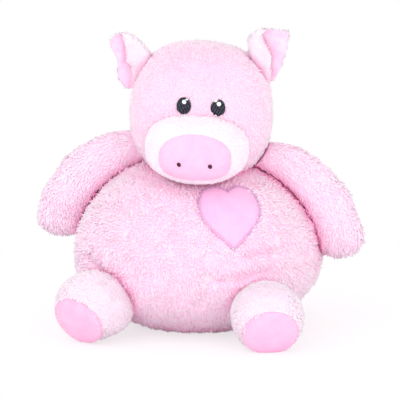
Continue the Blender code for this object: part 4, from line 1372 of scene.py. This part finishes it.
@dataclass(frozen=True)
class Head:
    """The head with its muzzle, snout, eyes and ears."""

    width: float = 0.114
    depth: float = 0.104
    rise: float = 0.0565
    powers: tuple[float, float, float] = (2.5, 2.2, 2.3)
    above_body: float = 0.113
    forward: float = 0.010
    aside: float = 0.0046
    yaw: float = math.radians(6)
    roll: float = math.radians(3)
    inset: float = 0.0018
    muzzle_width: float = 0.082
    muzzle_depth: float = 0.076
    muzzle_height: float = 0.057
    muzzle_forward: float = 0.040
    muzzle_below: float = 0.0205
    muzzle_powers: tuple[float, float, float] = (2.3, 2.3, 2.3)
    pad_width: float = 0.057
    pad_height: float = 0.037
    pad_below: float = 0.0025
    pad_aside: float = 0.0010
    pad_powers: tuple[float, float] = (2.15, 2.9)
    nostril_spacing: float = 0.0237
    nostril_below: float = 0.007
    eye_spacing: float = 0.0268
    eye_width: float = 0.0112
    eye_height: float = 0.0130
    eye_above: float = 0.0140
    eye_aside: float = 0.0022

    def turn(self) -> Matrix:
        """The way the head is turned and tipped."""
        return Matrix.Rotation(self.yaw, 3, "Z") @ Matrix.Rotation(self.roll, 3, "Y")

    def form(self) -> Rounded:
        """The head's CAD surface."""
        centre = seat() + Vector((self.aside, -self.forward, BODY_DROP + self.above_body))
        return Rounded(centre, self.turn(), self.width / 2, self.depth / 2, self.rise, self.rise,
                       *self.powers)

    def muzzle(self) -> Rounded:
        """The muzzle's CAD surface."""
        centre = self.form().centre + self.turn() @ Vector((0, -self.muzzle_forward, -self.muzzle_below))
        half = self.muzzle_height / 2
        return Rounded(centre, self.turn(), self.muzzle_width / 2, self.muzzle_depth / 2, half, half,
                       *self.muzzle_powers)

    def front(self, form: Rounded, above: float, across: float = 0.0) -> Patch:
        """A patch on the front of a form, above its centre and across it."""
        turn = self.turn()
        out = turn @ Vector((0, -1, 0))
        side, up = turn @ Vector((1, 0, 0)), turn @ Vector((0, 0, 1))
        middle = form.centre + out * form.half_depth + up * above + side * across
        return Patch(form, middle, side, up, out)

    def eye(self, form: Rounded, way: int, above: float = 0.0, across: float = 0.0) -> Patch:
        """Where an eye is, or a spot above and across its middle."""
        return self.front(form, self.eye_above + above, self.eye_aside + way * self.eye_spacing / 2 + across)

    def pad_outline(self, count: int = 96) -> Array:
        """The snout pad's edge: an oval that is fuller below."""
        turns = np.linspace(0, 2 * math.pi, count, endpoint=False)
        east, north = np.cos(turns), np.sin(turns)
        share = 2 / np.where(north > 0, *self.pad_powers)
        x = np.sign(east) * np.abs(east) ** share * self.pad_width / 2
        y = np.sign(north) * np.abs(north) ** share * self.pad_height / 2
        return np.stack([x, y], 1)

    def build(self, bench: Bench, body: Rounded, neck: tuple[Array, Array], painted_shades: Sequence[PaintedShade]) -> None:
        """Build the head, muzzle, snout and eyes.

        Args:
            bench: The shared trees and finishes.
            body: The body's form, which the muzzle hangs over.
            neck: A place on the neck's seam and the way up the neck.
            painted_shades: Where painted shade falls on the head's pile, beside what lies next to it.
        """
        form, muzzle = self.form().grown(-self.inset), self.muzzle().grown(-self.inset * 0.7)

        def shape(places: Array) -> Array:
            """Lumps, and the neck's seam."""
            moved = swell(places, form.outward(places), 0.03, 0.0014, 5.5)
            under = np.minimum((moved - neck[0]) @ neck[1] - 0.0004, 0)
            return moved - under[:, None] * neck[1]

        skin = stuffed("head_skin", form, 6, shape, bench.paint["ground"])
        places = points_of(skin)
        density = (muzzle.depth(places) > -0.001).astype(float)
        density *= (places - neck[0]) @ neck[1] > 0.002
        for way in (-1, 1):
            x, y, ahead = self.eye(form, way).seen(places)
            room = np.hypot(x / (self.eye_width / 2), y / (self.eye_height / 2))
            density *= (room > 0.96) | (ahead < -0.02)
        comb = lying(np.array([0.0, 0.25, -1.0]), form.outward(places))
        ones = np.ones(len(places))
        middles = np.array([face.center[:] for face in skin.data.polygons])
        patches = (middles[:, 0] > form.centre.x).astype(int)
        piles = HEAD_PILE.grow(bench, skin, density, comb, ones, "pile", painted_shades, patches)
        bench.dress(skin, piles, "head", Slot.PILE, "head_cover")
        wadding(bench, "head", "head", self.form(), 4, (neck[0], -neck[1]))
        self.build_muzzle(bench, body, form, muzzle)
        self.build_eyes(bench, form)

    def build_muzzle(self, bench: Bench, body: Rounded, head: Rounded, muzzle: Rounded) -> None:
        """The muzzle's pale cup, its pile and stuffing, and the snout's pad and nostrils."""

        def shape(places: Array) -> Array:
            """Soft lumps, clear of the chest."""
            moved = swell(places, muzzle.outward(places), 0.02, 0.001, 9.1)
            return body.pushed_out(moved, 0.002)

        skin = stuffed("muzzle_skin", muzzle, 6, shape, bench.paint["pale_ground"])
        places = points_of(skin)
        pad = self.front(muzzle, -self.pad_below, self.pad_aside)
        x, y, ahead = pad.seen(places)
        power = np.where(y > 0, *self.pad_powers)
        x, y = np.abs(x / (self.pad_width / 2)), np.abs(y / (self.pad_height / 2))
        room = (x**power + y**power) ** (1 / power)
        density = ((room > 0.99) | (ahead < -0.03)).astype(float)
        density *= head.depth(places) > -0.001
        comb = lying(np.array(self.turn() @ Vector((0, 1, 0))), muzzle.outward(places))
        pile = replace(PALE_PILE, comb=1.0)
        # Painted shade where the muzzle meets the head and hangs over the chest.
        painted_shades = [PaintedShade(head.depth, 0.2, 0.002), PaintedShade(body.depth, 0.35, 0.006)]
        made = pile.grow(bench, skin, density, comb, np.ones(len(places)), "pale_pile", painted_shades)
        bench.dress(skin, made, "head", Slot.PALE_PILE, "muzzle_cover")
        wadding(bench, "muzzle", "head", self.muzzle(), 4, None, lambda places: body.pushed_out(places, 0.006))

        def puff(share: Array) -> Array:
            """A smooth pad, drawn in at its seam."""
            return 0.0004 + 0.0020 * (1 - np.minimum(share, 1) ** 7) ** 0.6

        snout = pad.pad("snout_velour", self.pad_outline(), 16, puff, 0.001, bench.paint["velour"])
        bench.settle(snout, "head", Slot.VELOUR, ["snout_pad"])
        for name, way in SIDES:
            spot = self.front(muzzle, -self.nostril_below, 0.0012 + way * self.nostril_spacing / 2)
            dot = oval_outline(0.0036, 0.0032, 32)
            lines = satin(spot, dot, 0.00036, math.radians(20), 0.0025, 0.0004)
            made_dot = threads(bench, f"nostril_{name}_thread", lines, 0.00024, "plum")
            bench.settle(made_dot, "head", Slot.PLUM, [f"nostril_{name}"])

    def build_eyes(self, bench: Bench, form: Rounded) -> None:
        """The embroidered eyes: dark satin ovals with white highlights."""
        for name, way in SIDES:
            outline = oval_outline(self.eye_width, self.eye_height, 96)
            lines = satin(self.eye(form, way), outline, pitch=0.00040, slant=math.radians(62 * way),
                          lift=0.0012, bulge=0.0010)
            # Every fifth thread is a lighter grey: painted glints along the dark satin.
            dark = [line for here, line in enumerate(lines) if here % 5 != 2]
            for tint, some, nodes in (("dark", dark, [f"eye_{name}"]), ("slate", lines[2::5], [])):
                made = threads(bench, f"eye_{name}_{tint}_thread", some, 0.00029, tint)
                bench.settle(made, "head", Slot.DARK, nodes)
            big, small = oval_outline(0.0034, 0.0030, 32), oval_outline(0.0020, 0.0012, 24)
            white = satin(self.eye(form, way, 0.0030, 0.0003), big, pitch=0.00034, slant=0.3,
                          lift=0.0024, bulge=0.0005)
            above = self.eye(form, way, 0.0050, -0.0022 * way)
            white += satin(above, small, pitch=0.00034, slant=-0.5 * way, lift=0.0022, bulge=0.0003)
            made = threads(bench, f"eye_highlight_{name}_thread", white, 0.00024, "white")
            bench.settle(made, "head", Slot.WHITE, [f"eye_highlight_{name}"])


LEFT_EAR_ROWS = ((-0.006, 0.0020, 0.0070, 0.0045, 0.0020), (-0.002, -0.0020, 0.0125, 0.0025, 0.0028),
                 (0.004, -0.0065, 0.0145, 0.0005, 0.0036), (0.012, -0.0115, 0.0135, 0.0010, 0.0044),
                 (0.0155, -0.0125, 0.0130, 0.0052, 0.0046), (0.020, -0.0130, 0.0135, 0.0040, 0.0044),
                 (0.028, -0.0075, 0.0165, 0.0036, 0.0036), (0.033, -0.0030, 0.0160, 0.0040, 0.0028),
                 (0.0365, 0.0005, 0.0135, 0.0045, 0.0018), (0.0382, 0.0035, 0.0105, 0.0055, 0.0010))
RIGHT_EAR_ROWS = ((-0.006, 0.0005, 0.0060, 0.0040, 0.0020), (0.000, -0.0035, 0.0095, 0.0034, 0.0030),
                  (0.0045, -0.0065, 0.0120, 0.0022, 0.0038), (0.014, -0.0130, 0.0143, 0.0026, 0.0048),
                  (0.024, -0.0150, 0.0157, -0.0046, 0.0046), (0.030, -0.0125, 0.0158, -0.0080, 0.0034),
                  (0.0335, -0.0085, 0.0152, -0.0050, 0.0018), (0.0350, -0.0060, 0.0140, -0.0035, 0.0012))


@dataclass(frozen=True)
class Ear:
    """An ear: pile fabric folded lengthwise, lined with velour.

    Attributes:
        side: The side that it is on.
        head: The head that it is sewn to.
        stations: Rows of lift above the seam, fold, outer rim, flap's free edge and fold radius.
        cup: How far the outer rim curls forward.
        rows: How many rows of faces it has.
    """

    side: Side
    head: Head
    stations: tuple
    cup: float = 0.004
    rows: int = 40

    def ways(self) -> tuple[Vector, Vector, Vector, Vector]:
        """The ear's seam middle on the head, and the ways along it, outwards and forward."""
        side, form = self.side, self.head.form()
        way = np.array([[side.way * math.cos(side.ear_set), 0.0, math.sin(side.ear_set)]])
        along = form.turn @ Vector((side.way * math.sin(side.ear_lean), 0, math.cos(side.ear_lean)))
        opens = Matrix.Rotation(side.way * side.ear_turn, 3, along)
        forward = opens @ form.turn @ Vector((0, -1, 0))
        out = forward.cross(along) * -side.way
        return Vector(form.surface(way)[0]) - out * side.ear_inset, along, out, forward

    def seam_line(self) -> Array:
        """The line of the seam on the head, from the fold to the outer rim."""
        seam, along, out, forward = (np.array(way) for way in self.ways())
        spots = []
        for lift in np.linspace(-0.004, 0.022, 14):
            fold = between(self.stations, lift)
            spots.append(seam + along * lift + out * fold + forward * 0.002)
        form = self.head.form()
        spots = np.array(spots)
        ways = form.local(spots)
        return np.where((np.abs(form.depth(spots)) < 0.008)[:, None], form.surface(ways), FAR)

    def fold(self, lift: float) -> tuple[Array, Array, Array]:
        """The cross section at a height above the seam.

        Args:
            lift: The height.

        Returns:
            Outwards and forward pairs for the back panel, the fold and the front flap, how much painted
            shade the lining takes at each, deepest in the fold, and how near the flap's free edge the fur is at each.
        """
        place, rim, edge, radius = (between(self.stations, lift, column) for column in (1, 2, 3, 4))
        turn_at = place + radius
        panel, flap = max(rim - turn_at, 0.001), max(edge - turn_at, 0.0008)
        part = np.linspace(1, 0, 14, endpoint=False)
        back = np.stack([turn_at + panel * part, self.cup * part**2.5 - radius], 1)
        angle = math.pi * (np.linspace(0, 1, 11) + 0.5)
        bend = np.stack([turn_at + radius * np.cos(angle), -radius * np.sin(angle)], 1)
        part = np.linspace(0, 1, 9)[1:]
        front = np.stack([turn_at + flap * part, radius - 0.0030 * part**2], 1)
        line = np.concatenate([back, bend, front])
        # Painted shade on the lining: full under the flap, fading beyond its free edge, and 0.6 on the flap's own
        # lining.
        away = np.maximum(line[:, 0] - edge, 0)
        inside = 0.7 * np.exp(-away / 0.0016) + 0.3 * np.exp(-away / 0.007)
        inside[len(back) + len(bend):] = 0.6
        near = np.zeros(len(line))
        near[-len(front):] = np.exp(-(edge - front[:, 0]) / 0.0016)
        return line, inside, near

    def sheet(self, name: str, inner: float, outer: float,
              finish: bpy.types.Material) -> tuple[bpy.types.Object, Array]:
        """A folded closed sheet between two distances from the fold.

        Args:
            name: The piece's name.
            inner: The sheet's inner distance, negative inside the fold.
            outer: The sheet's outer distance.
            finish: The material.

        Returns:
            The sheet, and for each of its points: 1 on the outer side, how near it is to a rim,
            how much painted shade it takes in the fold, and how near the flap's free edge.
        """
        seam, along, out, forward = (np.array(way) for way in self.ways())
        low, high = self.stations[0][0], self.stations[-1][0]
        rings, facts = [], []
        for row in range(self.rows + 1):
            lift = low + (high - low) * row / self.rows
            line, inside, near = self.fold(lift)
            run = np.gradient(line, axis=0)
            run /= np.linalg.norm(run, axis=1, keepdims=True)
            aside = np.stack([-run[:, 1], run[:, 0]], 1)
            loop = np.concatenate([line + aside * outer, (line + aside * inner)[::-1]])
            rings.append(seam + along * lift + loop[:, :1] * out + loop[:, 1:] * forward)
            count = len(line)
            rim = np.zeros(count)
            rim[:3] = 1.0
            rim = np.maximum(rim, 1.0 if row > self.rows - 4 else 0.0)
            side = np.stack([np.ones(count), rim, inside, near], 1)
            back = side * [0, 1, 1, 1]
            back[:, 0] = (rim > 0.5) * 0.6
            facts.append(np.concatenate([side, back[::-1]]))
        count = len(rings[0])
        faces = ring_faces(self.rows + 1, count)
        for start in (0, self.rows * count):
            for here in range(count // 2 - 1):
                far = count - 1 - here
                faces.append((start + here, start + here + 1, start + far - 1, start + far))
        ahead = np.repeat(forward[None], count * (self.rows + 1), 0)
        places = swell(np.concatenate(rings), ahead, 0.012, 0.0012, 6.1)
        made = outward_facing(mesh_object(name, places, faces, finish))
        return made, np.concatenate(facts)

    def build(self, bench: Bench) -> None:
        """Build the ear's skin, its pile and its lining."""
        name, body = self.side.name, f"ear_{self.side.name}"
        skin, facts = self.sheet(f"ear_{name}_skin", 0.0002, 0.0014, bench.paint["pale_ground"])
        places = points_of(skin)
        depth = self.head.form().depth(places)
        density = facts[:, 0] * (depth > -0.002)
        along = np.array(self.ways()[1])
        comb = np.repeat(along[None], len(places), 0)
        height = 1 - 0.35 * np.maximum(facts[:, 1], np.clip((facts[:, 3] - 0.3) * 2, 0, 1))
        pile = replace(PALE_PILE, spacing=0.0011, length=0.0026, width=0.0007, ruffle=1.8, soft_share=0.6)
        from_edge = np.where(facts[:, 3] > 0, -np.log(np.maximum(facts[:, 3], 1e-6)), FAR)
        # Painted shade on the ear's pile where it meets the head and near the flap's free edge.
        painted_shades = [PaintedShade(lambda spots: np.maximum(depth, 0.0), 0.55, 0.003),
                 PaintedShade(lambda spots: from_edge, 0.35, 1.0)]
        made = pile.grow(bench, skin, density, comb, height, "mid_pile", painted_shades)
        bench.dress(skin, made, body, Slot.PILE, body, 0.3)
        lining, facts = self.sheet(f"ear_{name}_velour", -0.0022, -0.0003, bench.paint["lining"])
        # The lining's painted shade, deepest in the fold.
        give(lining, "deep", "FLOAT", facts[:, 2])
        bench.settle(lining, body, Slot.VELOUR, [f"ear_lining_{name}"])


@dataclass(frozen=True)
class Limb:
    """An arm: a stuffed tube of pile fabric that hangs over the body's side."""

    side: Side
    bend_radius: float = 0.079
    start_droop: float = math.radians(7)
    bend: float = math.radians(78)
    width: float = 0.046
    thickness: float = 0.036
    root_back: float = 0.006
    end_back: float = 0.010
    inset: float = 0.0022
    root: float = -0.07
    round_from: float = 0.84
    stations: tuple = ((0.02, 0.70, 0.66), (0.10, 0.78, 0.74), (0.25, 0.89, 0.85), (0.42, 0.96, 0.94),
                       (0.58, 1.0, 1.0), (0.72, 1.0, 1.0), (0.84, 0.96, 0.94))

    def line(self, share: float) -> tuple[Array, Array, Array]:
        """The middle of the arm, its heading and the way across it, at a share of its length."""
        way = self.side.way
        first = self.start_droop + self.side.arm_droop
        heading = first + self.bend * share
        out = self.bend_radius * (math.sin(heading) - math.sin(first))
        down = self.bend_radius * (math.cos(first) - math.cos(heading))
        back = (self.end_back - self.root_back) * share
        height = BODY_DROP + self.side.shoulder_up
        root = np.array(seat()) + [way * self.side.shoulder_out, self.root_back, height]
        middle = root + [way * out, back, -down]
        ahead = np.array([way * math.cos(heading), 0.0, -math.sin(heading)])
        across = np.array([way * math.sin(heading), 0.0, math.cos(heading)])
        return middle, ahead, across

    def rings(self, inset: float, steps: int, count: int) -> tuple[Array, Array]:
        """Rings of places round the arm, and its heading at each ring."""
        turns = np.linspace(0, 2 * math.pi, count, endpoint=False)[:, None]
        rings, ahead_ways = [], []
        shares = np.concatenate([np.linspace(self.root, 0.9, steps - 14, endpoint=False),
                                 0.9 + 0.1 * np.sin(np.linspace(0, math.pi / 2, 14))])
        for share in shares:
            middle, ahead, across = self.line(float(share))
            wide, thick = (max(half - inset, 0.001) for half in self.girth(float(share)))
            ring = np.cos(turns) * across * wide + np.sin(turns) * [[0.0, 1.0, 0.0]] * thick
            rings.append(middle + ring)
            ahead_ways.append(np.repeat(ahead[None], count, 0))
        return np.array(rings), np.concatenate(ahead_ways)

    def girth(self, share: float) -> tuple[float, float]:
        """Half the arm's width and thickness at a share of its length, rounded off at its end."""
        part = max(0.0, (share - self.round_from) / (1 - self.round_from))
        end = math.sqrt(max(0.0, 1 - part**2.6))
        wide, thick = (between(self.stations, min(share, self.round_from), column) * end for column in (1, 2))
        return self.width / 2 * wide, self.thickness / 2 * thick

    def bending(self) -> tuple[Vector, Vector]:
        """Where the arm starts to bend as it lifts, and where it moves as a whole."""
        return Vector(self.line(self.root)[0]), Vector(self.line(0.62)[0])

    def front_gap(self, places: Array) -> Array:
        """How far each place is from the line that the arm's front edge draws on the body."""
        return self.depth(places) + np.maximum(places[:, 1] - 0.004, 0.0)

    def depth(self, places: Array) -> Array:
        """How far each place is outside the arm, roughly in metres."""
        best = np.full(len(places), FAR)
        for share in np.linspace(0.02, 0.97, 20):
            middle, ahead, across = self.line(float(share))
            wide, thick = self.girth(float(share))
            off = places - middle
            round_it = np.hypot(off @ across / wide, off[:, 1] / thick)
            past = np.maximum(np.abs(off @ ahead) - 0.004, 0)
            best = np.minimum(best, np.hypot(np.maximum(round_it - 1, 0) * thick, past))
        return best

    def build(self, bench: Bench, body: Rounded, head: Rounded) -> None:
        """Build the arm's skin, its pile and its stuffing, clear of the body and the head."""
        name, rides = self.side.name, f"arm_{self.side.name}"
        rings, heading = self.rings(self.inset, 72, 56)
        shape = rings.shape
        flat = rings.reshape(-1, 3)
        middles = np.repeat(np.array([ring.mean(0) for ring in rings]), shape[1], 0)
        out = flat - middles
        out /= np.maximum(np.linalg.norm(out, axis=1, keepdims=True), 1e-6)
        flat = swell(flat, out, 0.022, 0.0018, 2.2 + self.side.way)
        flat = head.pushed_out(body.pushed_out(flat, 0.0012), TURN_ROOM)
        skin = tube(f"{rides}_skin", flat.reshape(shape), bench.paint["ground"])
        places = points_of(skin)
        heading = np.concatenate([heading, heading[:1], heading[-1:]])
        density = (body.depth(places) > 0.0002) & (head.depth(places) > 0.0003)
        height = np.clip(head.depth(places) / 0.004, 0.35, 1)
        out = np.concatenate([out, -heading[:1], heading[-1:]])
        comb = heading + np.array([0.0, 0.0, -0.4])
        comb = comb - out * (out * comb).sum(1, keepdims=True)
        # Painted shade where the arm lies against the body and meets the head; the arm's pile is a deeper copy of the
        # body's, painted shade too.
        painted_shades = [PaintedShade(body.depth, self.side.fold, 0.005), PaintedShade(head.depth, 0.45, 0.004)]
        pile = replace(BODY_PILE, length=0.0033, stand=0.45, comb=0.9, ruffle=2.0, soft_share=0.6)
        made = pile.grow(bench, skin, density.astype(float), comb, height, "arm_pile", painted_shades)
        bench.dress(skin, made, rides, Slot.PILE, rides, 0.8, self.bending())
        rings, _ = self.rings(CLOTH + SEAM + 0.001, 40, 24)
        flat = rings.reshape(-1, 3)
        flat = head.pushed_out(body.pushed_out(flat, CLOTH + 0.001), TURN_ROOM + CLOTH + 0.001)
        fill = tube(f"{rides}_wadding", flat.reshape(rings.shape), bench.paint["wadding"])
        bench.settle(fill, rides, Slot.STUFFING, [f"arm_stuffing_{name}"], 0.8, self.bending())


@dataclass(frozen=True)
class Foot:
    """A foot: a stub of paler pile with a velour sole."""

    side: Side
    width: float = 0.058
    height: float = 0.0535
    front: float = 0.031
    rear: float = 0.036
    powers: tuple[float, float, float] = (2.4, 2.0, 2.1)
    sole_from_centre: float = 0.022
    sole_width: float = 0.044
    sole_height: float = 0.041
    sole_lift: float = 0.0006
    sole_dome: float = 0.0034
    sole_sunk: float = 0.0015
    sole_edge: int = 168
    faces_down: float = math.radians(25)
    inset: float = 0.0016

    def ahead(self) -> Vector:
        """The level way that the foot points."""
        return Vector((self.side.way * math.sin(self.side.foot_yaw), -math.cos(self.side.foot_yaw), 0))

    def form(self) -> Rounded:
        """The foot's CAD surface, its own Z running forward."""
        ahead, side = self.ahead(), self.side
        across = Vector((math.cos(side.foot_yaw), side.way * math.sin(side.foot_yaw), 0))
        turn = Matrix((across, ahead.cross(across), ahead)).transposed()
        half = self.height / 2
        centre = seat() + Vector((side.way * side.foot_out, -side.foot_forward, half + side.foot_lift))
        return Rounded(centre, turn, self.width / 2, half + FLAT_SEAT, self.front, self.rear, *self.powers)

    def sole_plane(self) -> tuple[Vector, Vector]:
        """The sole's middle and the way that it faces."""
        out = self.ahead() * math.cos(self.faces_down) - Vector((0, 0, math.sin(self.faces_down)))
        return self.form().centre + out * self.sole_from_centre, out

    def build(self, bench: Bench, body: Rounded) -> None:
        """Build the foot's skin, pile, stuffing and sole."""
        rides = f"foot_{self.side.name}"
        form = self.form().grown(-self.inset)
        middle, out_way = (np.array(way) for way in self.sole_plane())

        def shape(places: Array) -> Array:
            """Soft lumps, the sole's flat, the floor, and clear of the body."""
            moved = swell(places, form.outward(places), 0.02, 0.0012, 4.4 + self.side.way)
            over = np.maximum((moved - middle) @ out_way, 0)
            moved = moved - over[:, None] * out_way
            moved[:, 2] = np.maximum(moved[:, 2], 0.0)
            return body.pushed_out(moved, 0.001)

        skin = stuffed(f"{rides}_skin", form, 6, shape, bench.paint["pale_ground"])
        places = points_of(skin)
        density = ((places - middle) @ out_way < -0.0004) & (places[:, 2] > ABOVE_FLOOR)
        density &= body.depth(places) > 0.0002
        comb = lying(np.array(self.ahead()) + np.array([0.0, 0.0, -0.5]), form.outward(places))
        # Painted shade where the foot meets the body and the floor.
        painted_shades = [PaintedShade(body.depth, 0.6, 0.004), PaintedShade(lambda spots: spots[:, 2], 0.2, 0.006)]
        pile, ones = replace(PALE_PILE, length=0.0030), np.ones(len(places))
        made = pile.grow(bench, skin, density.astype(float), comb, ones, "mid_pile", painted_shades)
        bench.dress(skin, made, rides, Slot.PALE_PILE, rides)
        wadding(bench, rides, rides, self.form(), 4, (middle - out_way * 0.002, out_way),
                lambda spots: body.pushed_out(spots, CLOTH + 0.001))
        self.build_sole(bench, rides)

    def build_sole(self, bench: Bench, rides: str) -> None:
        """The sole: a slightly domed oval of velour, stitched round its edge."""
        middle, out = self.sole_plane()
        up = upright(out)
        across = up.cross(out)
        outline = oval_outline(self.sole_width, self.sole_height, 80)
        shares = np.cos(np.linspace(0, math.pi / 2, 15)[:-1])
        flat = np.concatenate([outline * share for share in shares] + [np.zeros((1, 2))])
        share = np.append(np.repeat(shares, len(outline)), 0.0)

        def placed(pairs: Array, lift: Array) -> Array:
            """Pairs and lifts as places, kept above the floor."""
            spots = np.array(middle) + pairs[:, :1] * np.array(across) + pairs[:, 1:] * np.array(up)
            spots = spots + lift[:, None] * np.array(out)
            spots[:, 2] = np.maximum(spots[:, 2], FLOOR_SKIN)
            return spots

        top = placed(flat, self.sole_lift + self.sole_dome * (1 - share**3.5))
        back = placed(flat, np.full(len(flat), -self.sole_sunk))
        name = f"sole_{self.side.name}"
        sole = closed_pad(f"{name}_velour", top, back, len(outline), bench.paint["velour"])
        bench.settle(sole, rides, Slot.VELOUR, [name])
        count, arch = self.sole_edge, np.array([0.0004, 0.0012, 0.0004])
        edge = oval_outline(self.sole_width * 1.01, self.sole_height * 1.01, count)
        lines = [placed(edge[[start, start + 1, (start + 2) % count]], arch)
                 for start in range(0, count, 3)]
        lines = [line for line in lines if line[:, 2].min() > 0.001]
        stitches = threads(bench, f"{name}_stitches", lines, 0.00030, "rose")
        bench.settle(stitches, rides, Slot.VELOUR)


# The studio


@dataclass(frozen=True)
class Studio:
    """The pale floor, the soft lamps and the camera at the photograph's angle."""

    azimuth: float = math.radians(10)
    elevation: float = math.radians(11)
    distance: float = 8.0
    view_width: float = 0.320
    middle_across: float = 0.0016
    middle_up: float = 0.0984
    sky: float = 1.0
    floor_half: float = 3.0
    # Where the painted pink bounce light and the floor's kept shadow fade out, away from the toy.
    tint_fades: tuple[float, float] = (0.14, 0.34)
    lit_height: float = 0.1
    lamps: tuple = (("key", (-0.75, -0.75, 1.15), 1.2, 4.5), ("fill", (0.9, -1.0, 0.6), 1.2, 3.2),
                    ("front", (0.3, -1.45, 0.3), 1.6, 8.0), ("back", (0.0, 1.5, 0.7), 1.6, 6.0))

    def ways(self) -> tuple[Vector, Vector, Vector]:
        """The camera's right, up and back."""
        a, e = self.azimuth, self.elevation
        right = Vector((math.cos(a), math.sin(a), 0))
        up = Vector((-math.sin(a) * math.sin(e), math.cos(a) * math.sin(e), math.cos(e)))
        return right, up, right.cross(up)

    def build(self) -> None:
        """Set the camera, the floor, the sky and the lamps."""
        scene = bpy.context.scene
        scene.view_settings.view_transform = "Standard"
        scene.cycles.max_bounces = 16
        scene.cycles.diffuse_bounces = 16
        right, up, back = self.ways()
        aim = seat() + right * self.middle_across + up * self.middle_up
        camera = bpy.data.cameras.new("camera")
        camera.lens = camera.sensor_width * self.distance / self.view_width
        camera.clip_end = 40.0
        eye = bpy.data.objects.new("camera", camera)
        turn = Matrix((right, up, back)).transposed().to_4x4()
        eye.matrix_world = Matrix.Translation(aim + back * self.distance) @ turn
        scene.collection.objects.link(eye)
        scene.camera = eye
        self.floor()
        self.world()
        for name, place, size, power in self.lamps:
            self.lamp(name, Vector(place), size, power)

    def floor(self) -> None:
        """A white floor that shows white and keeps the toy's shadow, with painted pink bounce light near the toy."""
        size = self.floor_half
        corners = np.array([[-size, -size, 0], [size, -size, 0], [size, size, 0], [-size, size, 0]])
        made, tree, shader = blank_material("white floor", base_color=(0.95, 0.94, 0.95, 1.0),
                                            roughness=0.9, specular_ior_level=0.0)
        place = add(tree, "ShaderNodeTexCoord").outputs["Object"]
        off = add(tree, "ShaderNodeVectorMath", {0: place}, operation="LENGTH").outputs["Value"]
        near = spread(tree, off, *self.tint_fades, 0.0, 1.0)
        # Painted light: near the toy the floor's glow is faintly pink, as light bounced off the toy.
        tint = mixed(tree, near, (1.0, 0.97, 0.985), (1.0, 1.0, 1.0))
        glow = add(tree, "ShaderNodeEmission", {"Color": tint, "Strength": 1.0})
        rays = add(tree, "ShaderNodeLightPath")
        share = maths(tree, "MULTIPLY", rays.outputs["Is Camera Ray"], spread(tree, near, 0.0, 1.0, 0.72, 1.0))
        both = add(tree, "ShaderNodeMixShader", {0: share, 1: shader.outputs[0], 2: glow.outputs[0]})
        tree.links.new(both.outputs[0], tree.nodes["Material Output"].inputs["Surface"])
        ground = mesh_object("floor", corners, [(0, 1, 2, 3)], made)
        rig.stage(ground)

    def world(self) -> None:
        """A white sky for the camera and a plain soft one for the light."""
        sky = bpy.data.worlds.new("sky")
        sky.use_nodes = True
        tree = sky.node_tree
        rays = add(tree, "ShaderNodeLightPath")
        seen = maths(tree, "MAXIMUM", rays.outputs["Is Camera Ray"], rays.outputs["Is Glossy Ray"])
        strength = spread(tree, seen, 0.0, 1.0, self.sky, 1.0)
        glow = tree.nodes["Background"]
        glow.inputs["Color"].default_value = (1.0, 1.0, 1.0, 1.0)
        tree.links.new(strength, glow.inputs["Strength"])
        bpy.context.scene.world = sky

    def lamp(self, name: str, place: Vector, size: float, power: float) -> None:
        """A soft square lamp that faces the toy."""
        light = bpy.data.lights.new(name, "AREA")
        light.energy, light.size = power, size
        made = bpy.data.objects.new(name, light)
        made.location = place
        made.rotation_euler = (place - Vector((0, 0, self.lit_height))).to_track_quat("Z", "Y").to_euler()
        bpy.context.scene.collection.objects.link(made)


def write_sizes() -> None:
    """Write the CAD box and the dressed toy's box to a file."""
    boxes = [[list(corner) for corner in box] for box in (CAD_BOX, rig.bounds())]
    with open(SIZE_FILE, "w") as out:
        json.dump(boxes, out)


def main() -> None:
    """Build the toy piece by piece, then the studio."""
    logging.basicConfig(level=logging.INFO, format="%(name)s: %(message)s")
    bench = Bench(Finishes())
    body, head = Body(), Head()
    body_form, head_form = body.form(), head.form()
    axis = (head_form.centre - body_form.centre).normalized()
    top = body_form.surface(np.array([axis[:]]))[0]
    low_way = head_form.turn.transposed() @ -axis
    bottom = head_form.surface(np.array([low_way[:]]))[0]
    neck = (top + (bottom - top) * NECK_SHARE, np.array(axis))
    arms = [Limb(side) for side in (LEFT, RIGHT)]
    feet = [Foot(side) for side in (LEFT, RIGHT)]
    ears = [Ear(LEFT, head, LEFT_EAR_ROWS), Ear(RIGHT, head, RIGHT_EAR_ROWS)]
    muzzle = head.muzzle()
    # Painted shade on the body beside the arms, the feet, the head and the muzzle.
    near_body = [PaintedShade(arm.front_gap, arm.side.fold, 0.0065) for arm in arms]
    near_body += [PaintedShade(foot.form().depth, 0.6, 0.0045) for foot in feet]
    near_body += [PaintedShade(arm.front_gap, 0.4, 0.018) for arm in arms]
    near_body += [PaintedShade(head_form.depth, 0.5, 0.016), PaintedShade(muzzle.depth, 0.45, 0.010)]
    body.build(bench, [foot.form() for foot in feet], [head_form, muzzle], neck, near_body)
    # Painted shade on the head along the ears' seams, over the body and beside the muzzle.
    near_head = [PaintedShade(lambda spots, line=ear.seam_line(): distance(spots, line), 0.5, 0.003) for ear in ears]
    near_head += [PaintedShade(body_form.depth, 0.35, 0.005), PaintedShade(muzzle.depth, 0.25, 0.0025)]
    head.build(bench, body_form, neck, near_head)
    for ear in ears:
        ear.build(bench)
    for arm in arms:
        arm.build(bench, body_form, head_form)
    for foot in feet:
        foot.build(bench, body_form)
    Studio().build()
    write_sizes()


if __name__ == "__main__":
    main()
